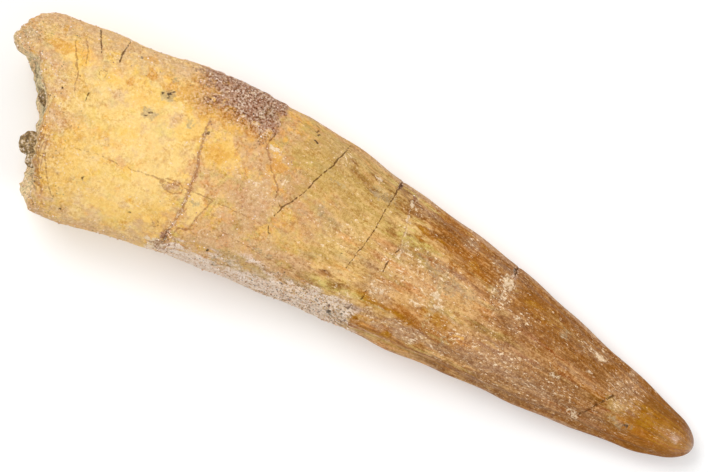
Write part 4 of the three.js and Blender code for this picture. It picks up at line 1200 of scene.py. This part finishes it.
def fossil_material(settings):
    material, nodes = new_material("fossil_enamel")
    finish = FossilFinish(nodes.tree, settings)
    colour = base_colour(finish)
    for add_coat in (mottled, stained, worn, gritted, scuffed, lined, with_broken_wall):
        colour = add_coat(finish, colour)

    crown, gritty = finish.masks["crown"], finish.masks["gritty"]
    polish = finish.times(crown, finish.minus(1.0, finish.greatest(gritty, finish.masks["scuffs"])))
    rough = finish.minus(finish.between(finish.noises["patchy"], 0.6, 0.8), finish.times(polish, 0.25))
    striae = finish.times(finish.noises["streak"], crown, 0.3)
    fine = finish.plus(striae, finish.times(finish.masks["wear"], 0.8))
    height = finish.plus(finish.times(finish.height, finish.plus(gritty, 0.15)), fine)
    finish_material(finish, colour, rough, height, 0.00008, finish.masks["polish"])
    return material


LUMP_STOPS = [
    (0.3, "stone_dark"), (0.46, "lump"), (0.56, "olive"), (0.64, "lump"), (0.74, "grain"), (0.9, "scuff"),
]


def sandstone_material(settings):
    material, nodes = new_material("sandstone")
    place = place_in_mm(nodes)
    grit = nodes.group(shared_group(grit_group), {"Place": place, "Grain": 0.35})
    tone, pale, dark, height = grit.node.outputs
    colour = tinted(nodes, colour_of(settings, "stone"), nodes.between(tone, 0.6, 1.4))
    hollows = nodes.rise(nodes.noise(place, 1.6, 6, 0.7), 0.5, 0.8)
    colour = nodes.mix(nodes.times(hollows, 0.7), colour, colour_of(settings, "stone_dark"))
    lumps = nodes.rise(nodes.parts(nodes.attribute("lumps"))[0], 0.3, 0.7)
    speckles = nodes.noise(place, 0.5, 4, 0.7, 2)
    speckled = nodes.ramp(speckles, [(share, colour_of(settings, name)) for share, name in LUMP_STOPS])
    colour = nodes.mix(nodes.times(lumps, 0.85), colour, speckled)
    colour = nodes.mix(pale, colour, colour_of(settings, "grain"))
    colour = nodes.mix(dark, colour, colour_of(settings, "crack"))
    finish_material(nodes, colour, nodes.between(tone, 0.8, 1.0), height, 0.00015)
    return material


def grain_material(settings):
    material, nodes = new_material("loose_sand")
    place = place_in_mm(nodes)
    grit = nodes.group(shared_group(grit_group), {"Place": place, "Grain": 0.15})
    kind = nodes.parts(nodes.attribute("grain_kind"))[0]
    stops = [(0.0, "lump"), (0.3, "crimson"), (0.5, "rose"), (0.7, "sand"), (1.0, "grain")]
    colour = nodes.ramp(kind, [(share, colour_of(settings, name)) for share, name in stops])
    colour = tinted(nodes, colour, nodes.between(grit, 0.75, 1.25))
    finish_material(nodes, colour, nodes.between(grit, 0.7, 0.95), grit, 0.00003)
    return material


# ---------------------------------------------------------------- sandstone in the pulp cavity

FILL_COLUMNS = 120
FILL_WALL_ROWS = 24
FILL_FACE_ROWS = 24
FILL_VOXEL = 0.2
FILL_LUMPS = 0.16  # how far the grit stands out of the smooth sandstone, kept under the clearance


def sandstone_mesh():
    """The sandstone and its cemented lumps as one skin, in mm."""
    angles = np.linspace(0, 360, FILL_COLUMNS, endpoint=False)
    mouth = np.maximum(BROKEN_RIM(angles) + RIM_HOLLOW + FILL_RECESS, FILL_FRONT_X)
    depths, narrowings = np.array(FILL_NARROWS).T
    depth = np.linspace(depths[-1], 0, FILL_WALL_ROWS)[:, None]
    inset = WALL + FILL_CLEARANCE + np.interp(depth, depths, narrowings)
    x = mouth + (CAVITY_FLOOR_X - mouth) * depth
    wall, _ = skin(x, np.broadcast_to(angles, x.shape), inset)
    wall[..., 2] = np.maximum(wall[..., 2], inset)
    edge, centre = wall[-1], wall[-1].mean(0)
    share = np.linspace(0, 1, FILL_FACE_ROWS, endpoint=False)[1:, None, None]
    face = edge + (centre - edge) * share
    share = share[..., 0]
    y, z = face[..., 1], face[..., 2]
    lump = 0.3 * np.sin(1.3 * y + 9 * share) * np.sin(1.1 * z + 2) + 0.2 * np.sin(2.3 * y - 1.9 * z)
    face[..., 0] += lump * share - FILL_BULGE * share * (1 - share)
    floor_x = CAVITY_FLOOR_X - FILL_CLEARANCE
    floor_y, floor_z = section(floor_x)[:2]
    body = closed_mesh("sandstone_body", np.concatenate([wall, face]), (floor_x, floor_y, floor_z), centre)

    shape = bmesh.new()
    shape.from_mesh(body)
    bpy.data.meshes.remove(body)
    for lump_x, lump_y, lump_z, radius in NODULES:
        where = Matrix.Translation((lump_x, lump_y, lump_z))
        bmesh.ops.create_icosphere(shape, subdivisions=4, radius=radius, matrix=where)
    joined = bpy.data.meshes.new("sandstone_parts")
    shape.to_mesh(joined)
    shape.free()
    made = shown_object(joined, None)
    remesh = made.modifiers.new("fuse", "REMESH")
    remesh.mode = "VOXEL"
    remesh.voxel_size = FILL_VOXEL
    remesh.use_smooth_shade = True
    mesh = plain_mesh(made, "cavity_sandstone")

    points = points_of(mesh)
    from_lumps = [np.linalg.norm(points - place[:3], axis=1) / place[3] for place in np.array(NODULES)]
    lumps = 1 - step(0.9, 1.25, np.min(from_lumps, axis=0))
    write_vectors(mesh, "lumps", np.repeat(lumps[:, None], 3, axis=1))
    grit = 0.6 * noise(points, *UNEVENNESS["sandstone"]) + lumps * noise(points, *UNEVENNESS["lumps"])
    place_points(mesh, points + normals_of(mesh) * (FILL_LUMPS * grit)[:, None])
    return mesh


# ---------------------------------------------------------------- loose sand


def scatter_tree():
    """Scatters grains over a mesh, as many as its grain_share allows, and makes them real."""
    tree = bpy.data.node_groups.new("sand_scatter", "GeometryNodeTree")
    face = tree.interface
    face.new_socket("Surface", in_out="INPUT", socket_type="NodeSocketGeometry")
    for name, kind in (("Smallest Grain", "Float"), ("Largest Grain", "Float"), ("Grains per Area", "Float"),
                       ("Seed", "Int"), ("Material", "Material")):
        face.new_socket(name, in_out="INPUT", socket_type=f"NodeSocket{kind}")
    face.new_socket("Grains", in_out="OUTPUT", socket_type="NodeSocketGeometry")
    nodes = Nodes(tree)
    given = tree.nodes.new("NodeGroupInput").outputs
    result = tree.nodes.new("NodeGroupOutput").inputs

    def random(kind, low, high, seed_shift):
        """A number or vector for each grain. The node's sockets go by its kind."""
        first, output = {"FLOAT_VECTOR": (0, 0), "FLOAT": (2, 1)}[kind]
        seed = nodes.plus(given["Seed"], seed_shift)
        inputs = {first: low, first + 1: high, "Seed": seed}
        return nodes.add("FunctionNodeRandomValue", inputs, output, data_type=kind)

    share = nodes.add("GeometryNodeInputNamedAttribute", {"Name": "grain_share"}, data_type="FLOAT")
    density = nodes.times(share, given["Grains per Area"])
    scatter = {"Mesh": given["Surface"], "Density": density, "Seed": given["Seed"]}
    points = nodes.add("GeometryNodeDistributePointsOnFaces", scatter)
    grain = nodes.add("GeometryNodeMeshIcoSphere", {"Radius": 1.0, "Subdivisions": 1})
    turn = random("FLOAT_VECTOR", (0, 0, 0), (6.28, 6.28, 6.28), 1)
    turn = nodes.add("FunctionNodeEulerToRotation", {0: turn})
    spread = nodes.minus(given["Largest Grain"], given["Smallest Grain"])
    size = nodes.math("POWER", random("FLOAT", 0.0, 1.0, 2), 2.0)
    size = nodes.math("MULTIPLY_ADD", size, spread, given["Smallest Grain"])
    shape = random("FLOAT_VECTOR", (0.55, 0.55, 0.55), (1.0, 1.0, 1.0), 3)
    shape = nodes.add("ShaderNodeVectorMath", {0: shape, "Scale": size}, operation="SCALE")
    grains = {"Points": points, "Instance": grain, "Rotation": turn, "Scale": shape}
    grains = nodes.add("GeometryNodeInstanceOnPoints", grains)
    kind = {"Geometry": grains, "Name": "grain_kind", "Value": random("FLOAT", 0.0, 1.0, 4)}
    grains = nodes.add("GeometryNodeStoreNamedAttribute", kind, data_type="FLOAT", domain="INSTANCE")
    grains = nodes.add("GeometryNodeRealizeInstances", {"Geometry": grains})
    grains = nodes.add("GeometryNodeSetMaterial", {"Geometry": grains, "Material": given["Material"]})
    tree.links.new(grains, result["Grains"])
    return tree


def grains_mesh(host, sizes, material):
    """The loose sand on the host piece, as a mesh of its own."""
    surface = host.copy()
    surface.data = host.data.copy()
    bpy.context.scene.collection.objects.link(surface)
    modifier = surface.modifiers.new("sand", "NODES")
    modifier.node_group = scatter_tree()
    values = {"Smallest Grain": sizes.smallest_grain / 2, "Largest Grain": sizes.largest_grain / 2,
              "Grains per Area": sizes.grains_per_area, "Seed": sizes.seed, "Material": material}
    for socket in modifier.node_group.interface.items_tree:
        if socket.in_out == "INPUT" and socket.name in values:
            modifier[socket.identifier] = values[socket.name]
    return plain_mesh(surface, "sand_grains")


# ---------------------------------------------------------------- settings


def paint(code):
    """The linear red, green and blue of a colour written as six hexadecimal digits."""
    parts = [int(code[i:i + 2], 16) / 255 for i in (0, 2, 4)]
    return tuple(part / 12.92 if part <= 0.04045 else ((part + 0.055) / 1.055) ** 2.4 for part in parts)


def colour_property(name, description, code):
    return FloatVectorProperty(name=name, description=description, default=paint(code), size=3, min=0,
                               max=1, subtype="COLOR")


def length_property(name, description, mm):
    return FloatProperty(name=name, description=description, default=mm * MM, min=0, unit="LENGTH",
                         precision=5)


class FossilSizes(bpy.types.PropertyGroup):
    stria: length_property("Striae", "Height of the fine ridges along the crown", 0.03)
    root_roughness: length_property("Root roughness", "Height of the root's uneven surface", 0.05)
    crust: length_property("Crust", "Thickness of the gritty crust by the convex edge", 0.35)
    sand_relief: length_property("Bared dentine", "Relief where the enamel has flaked off", 0.08)
    crack_depth: length_property("Crack depth", "Depth of the grooves that cracks leave", 0.24)
    smallest_grain: length_property("Smallest grain", "Width of the smallest sand grains", 0.1)
    largest_grain: length_property("Largest grain", "Width of the largest sand grains", 0.34)
    grains_per_area: FloatProperty(name="Grains per area", default=4.5e6, min=0,
                                   description="Most sand grains for each square metre")
    seed: IntProperty(name="Seed", description="Where the sand grains fall", default=4)


class FossilColours(bpy.types.PropertyGroup):
    root_end: colour_property("Root end", "Tan root near the break", "DAB57F")
    root: colour_property("Root", "Creamy yellow root", "FAD48A")
    neck: colour_property("Neck", "Tan where root meets crown", "E0B47E")
    low_crown: colour_property("Low crown", "Olive tan enamel", "E6C07E")
    mid_crown: colour_property("Mid crown", "Tan enamel", "E0B478")
    high_crown: colour_property("High crown", "Brown enamel", "A26C34")
    tip: colour_property("Tip", "Brown enamel at the tip", "94580E")
    rose: colour_property("Rose", "Pinkish tan along the edges", "E2B68E")
    ochre: colour_property("Ochre", "Deep yellow stains", "F8C860")
    cream: colour_property("Cream", "Light yellow dentine", "F8D486")
    olive: colour_property("Olive", "Yellowish green stains", "BE9A52")
    amber: colour_property("Amber", "Polished deep amber enamel", "A6681C")
    mauve: colour_property("Mauve", "Pinkish haze on worn enamel", "A47A5E")
    brown: colour_property("Brown", "Dark sides of the crown", "8A5820")
    gold: colour_property("Gold", "Golden enamel near the tip", "B47C0C")
    edge: colour_property("Edge", "Bare, pinkish grey cutting edges", "CDAA8C")
    # Near white: the bared dentine's own pale colour, made lighter still as painted light on the shaded lower
    # edge.
    sand: colour_property("Sand", "Pale bared dentine", "FFF0E4")
    crimson: colour_property("Crimson", "Red-brown crust", "B6846A")
    orange: colour_property("Orange", "Rusty orange spots", "DC9A42")
    grey: colour_property("Grey", "Grey mineral stains", "A8967A")
    chalk: colour_property("Chalk", "Whitish crusts and chips", "F0DCC0")
    dark: colour_property("Dark", "Nearly black specks", "3C2C24")
    lime: colour_property("Lime", "Greenish yellow streaks", "E6C876")
    shoulder: colour_property("Shoulder", "Tan where the enamel begins", "D4A876")
    moss: colour_property("Moss", "What greenish stains are multiplied by", "E8FFDA")
    russet: colour_property("Russet", "What reddish stains are multiplied by", "FFDCB8")
    pale: colour_property("Pale", "The lightest strokes in the root", "FFE2A2")
    haze: colour_property("Haze", "Pinkish haze of the finest scuffs", "DEBE9A")
    scuff: colour_property("Scuff", "Pale scuffs", "F6DCB8")
    umber: colour_property("Umber", "What dirt and dark streaks are multiplied by", "C6A86E")
    dust: colour_property("Dust", "What dirt on the root is multiplied by", "CEAA6A")
    buff: colour_property("Buff", "Where the enamel is rubbed lighter", "E6B67C")
    dirt: colour_property("Dirt", "What pits and hollows are multiplied by", "94786A")
    copper: colour_property("Copper", "Orange brown streaks in the enamel", "AE6A1A")
    rust: colour_property("Rust", "Red-brown filling of the ring crack", "9E683C")
    crack: colour_property("Crack", "Dark cracks and grains", "5C3814")
    grain: colour_property("Grain", "Pale sand grains", "F2DECA")
    broken: colour_property("Broken", "Broken wall of the root", "E0BC8C")
    stone: colour_property("Sandstone", "Grey-green sandstone", "E2CEA0")
    stone_dark: colour_property("Dark sandstone", "Darker parts of the sandstone", "70583A")
    lump: colour_property("Lump", "Cemented lumps in the sandstone", "A88458")


class StudioSettings(bpy.types.PropertyGroup):
    ambient: FloatProperty(name="Ambient", description="Strength of the white surroundings", default=0.77,
                           min=0)
    key: FloatProperty(name="Key", description="Power of the main light", default=2.3, min=0, unit="POWER")
    fill: FloatProperty(name="Fill", description="Power of the light across from it", default=1.2, min=0,
                        unit="POWER")
    # Also the colour of the floor's faint painted glow.
    floor: colour_property("Floor", "Plain pale floor", "F6F6F6")


# ---------------------------------------------------------------- stage

VIEW_TURN = 27  # degrees that the view is turned about the vertical
VIEW_CENTRE = (-0.35, 2.39)  # mm
VIEW_WIDTH = 89.24  # mm across the picture at the height of the silhouette
VIEW_HEIGHT = 9  # mm
LENS = 600
SENSOR = 36
FLOOR_REACH = 1.5  # metres

HORIZON_GLOW = 0.6  # of the white room's strength overhead
# Each light's name, azimuth, elevation, distance and width, in degrees and metres.
LIGHTS = [("key", 150, 60, 0.7, 0.4), ("fill", -5, 45, 0.7, 0.3)]


def aim(made, place, target):
    made.location = place
    made.rotation_euler = (Vector(place) - Vector(target)).to_track_quat("Z", "Y").to_euler()


def build_floor(settings):
    corners = [(x * FLOOR_REACH, y * FLOOR_REACH, 0) for x, y in ((-1, -1), (1, -1), (1, 1), (-1, 1))]
    mesh = bpy.data.meshes.new("floor")
    mesh.from_pydata(corners, [], [(0, 1, 2, 3)])
    material, nodes = new_material("floor")
    colour = colour_of(settings, "floor")
    # The floor also glows faintly: a painted glow that lightens the tooth's shadow on it and lights the
    # tooth's underside.
    inputs = {"Base Color": colour, "Roughness": 0.9, "Emission Color": colour, "Emission Strength": 0.08}
    nodes.add("ShaderNodeOutputMaterial", {"Surface": nodes.add("ShaderNodeBsdfPrincipled", inputs)})
    shown_object(mesh, material)


def build_light(name, azimuth, elevation, distance, width, power):
    light = bpy.data.lights.new(name, "AREA")
    light.size = width
    light.energy = power
    made = bpy.data.objects.new(name, light)
    bpy.context.scene.collection.objects.link(made)
    flat = distance * math.cos(math.radians(elevation))
    turn = math.radians(azimuth)
    place = (flat * math.cos(turn), flat * math.sin(turn), distance * math.sin(math.radians(elevation)))
    aim(made, place, (0, 0, 0))


def build_camera():
    camera = bpy.data.cameras.new("camera")
    camera.lens = LENS
    camera.sensor_width = SENSOR
    camera.clip_start = 0.01
    made = bpy.data.objects.new("camera", camera)
    bpy.context.scene.collection.objects.link(made)
    distance = VIEW_WIDTH * LENS / SENSOR
    made.location = (VIEW_CENTRE[0] * MM, VIEW_CENTRE[1] * MM, (VIEW_HEIGHT + distance) * MM)
    made.rotation_euler = (0, 0, math.radians(VIEW_TURN))
    bpy.context.scene.camera = made


def build_world(strength):
    world = bpy.data.worlds.new("white_room")
    world.use_nodes = True
    back = world.node_tree.nodes["Background"]
    back.inputs["Color"].default_value = (1, 1, 1, 1)
    nodes = Nodes(world.node_tree)
    height = nodes.parts(nodes.add("ShaderNodeTexCoord", {}, "Generated"))[2]
    glow = nodes.between(nodes.rise(height, 0.0, 1.0), strength * HORIZON_GLOW, strength)
    world.node_tree.links.new(glow, back.inputs["Strength"])
    bpy.context.scene.world = world
    bpy.context.scene.view_settings.view_transform = "Standard"


# ---------------------------------------------------------------- operators


class FOSSIL_OT_tooth(bpy.types.Operator):
    """Builds the tooth's fine skin: root, crown, cracks and stains"""

    bl_idname = "fossil.tooth"
    bl_label = "Build Tooth"

    def execute(self, context):
        scene = context.scene
        mesh = tooth_mesh(scene.fossil_sizes)
        to_frame(mesh)
        tooth = shown_object(mesh, fossil_material(scene.fossil_colours))
        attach(tooth, "root")
        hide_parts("tooth")
        return {"FINISHED"}


class FOSSIL_OT_sandstone(bpy.types.Operator):
    """Builds the sandstone that set in the broken pulp cavity"""

    bl_idname = "fossil.sandstone"
    bl_label = "Build Sandstone"

    def execute(self, context):
        scene = context.scene
        mesh = sandstone_mesh()
        to_frame(mesh)
        stone = shown_object(mesh, sandstone_material(scene.fossil_colours))
        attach(stone, "root")
        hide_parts("cavity_fill")
        return {"FINISHED"}


class FOSSIL_OT_grains(bpy.types.Operator):
    """Scatters loose sand over the tooth's crust, its ring crack and its broken wall"""

    bl_idname = "fossil.grains"
    bl_label = "Scatter Sand Grains"

    def execute(self, context):
        scene = context.scene
        material = grain_material(scene.fossil_colours)
        mesh = grains_mesh(bpy.data.objects["fossil_tooth"], scene.fossil_sizes, material)
        grains = shown_object(mesh, material)
        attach(grains, "root")
        return {"FINISHED"}


class FOSSIL_OT_stage(bpy.types.Operator):
    """Builds the floor, the lights and the camera that looks down on the tooth"""

    bl_idname = "fossil.stage"
    bl_label = "Build Stage"

    def execute(self, context):
        studio = context.scene.fossil_studio
        build_floor(studio)
        build_world(studio.ambient)
        for name, *place in LIGHTS:
            build_light(name, *place, getattr(studio, name))
        build_camera()
        return {"FINISHED"}


class FOSSIL_PT_panel(bpy.types.Panel):
    bl_label = "Spinosaur Tooth"
    bl_idname = "FOSSIL_PT_panel"
    bl_space_type = "VIEW_3D"
    bl_region_type = "UI"
    bl_category = "Fossil"

    def draw(self, context):
        for operator in OPERATORS:
            self.layout.operator(operator.bl_idname)
        for name, group in SETTINGS.items():
            box = self.layout.box()
            for setting in group.__annotations__:
                box.prop(getattr(context.scene, name), setting)


SETTINGS = {"fossil_sizes": FossilSizes, "fossil_colours": FossilColours, "fossil_studio": StudioSettings}
OPERATORS = [FOSSIL_OT_tooth, FOSSIL_OT_sandstone, FOSSIL_OT_grains, FOSSIL_OT_stage]


def register():
    for group in [*SETTINGS.values(), *OPERATORS, FOSSIL_PT_panel]:
        bpy.utils.register_class(group)
    for name, group in SETTINGS.items():
        setattr(bpy.types.Scene, name, PointerProperty(type=group))


def unregister():
    for name in SETTINGS:
        delattr(bpy.types.Scene, name)
    for group in reversed([*SETTINGS.values(), *OPERATORS, FOSSIL_PT_panel]):
        bpy.utils.unregister_class(group)


def main():
    register()
    bpy.ops.fossil.tooth()
    bpy.ops.fossil.sandstone()
    bpy.ops.fossil.grains()
    bpy.ops.fossil.stage()


if __name__ == "__main__":
    main()
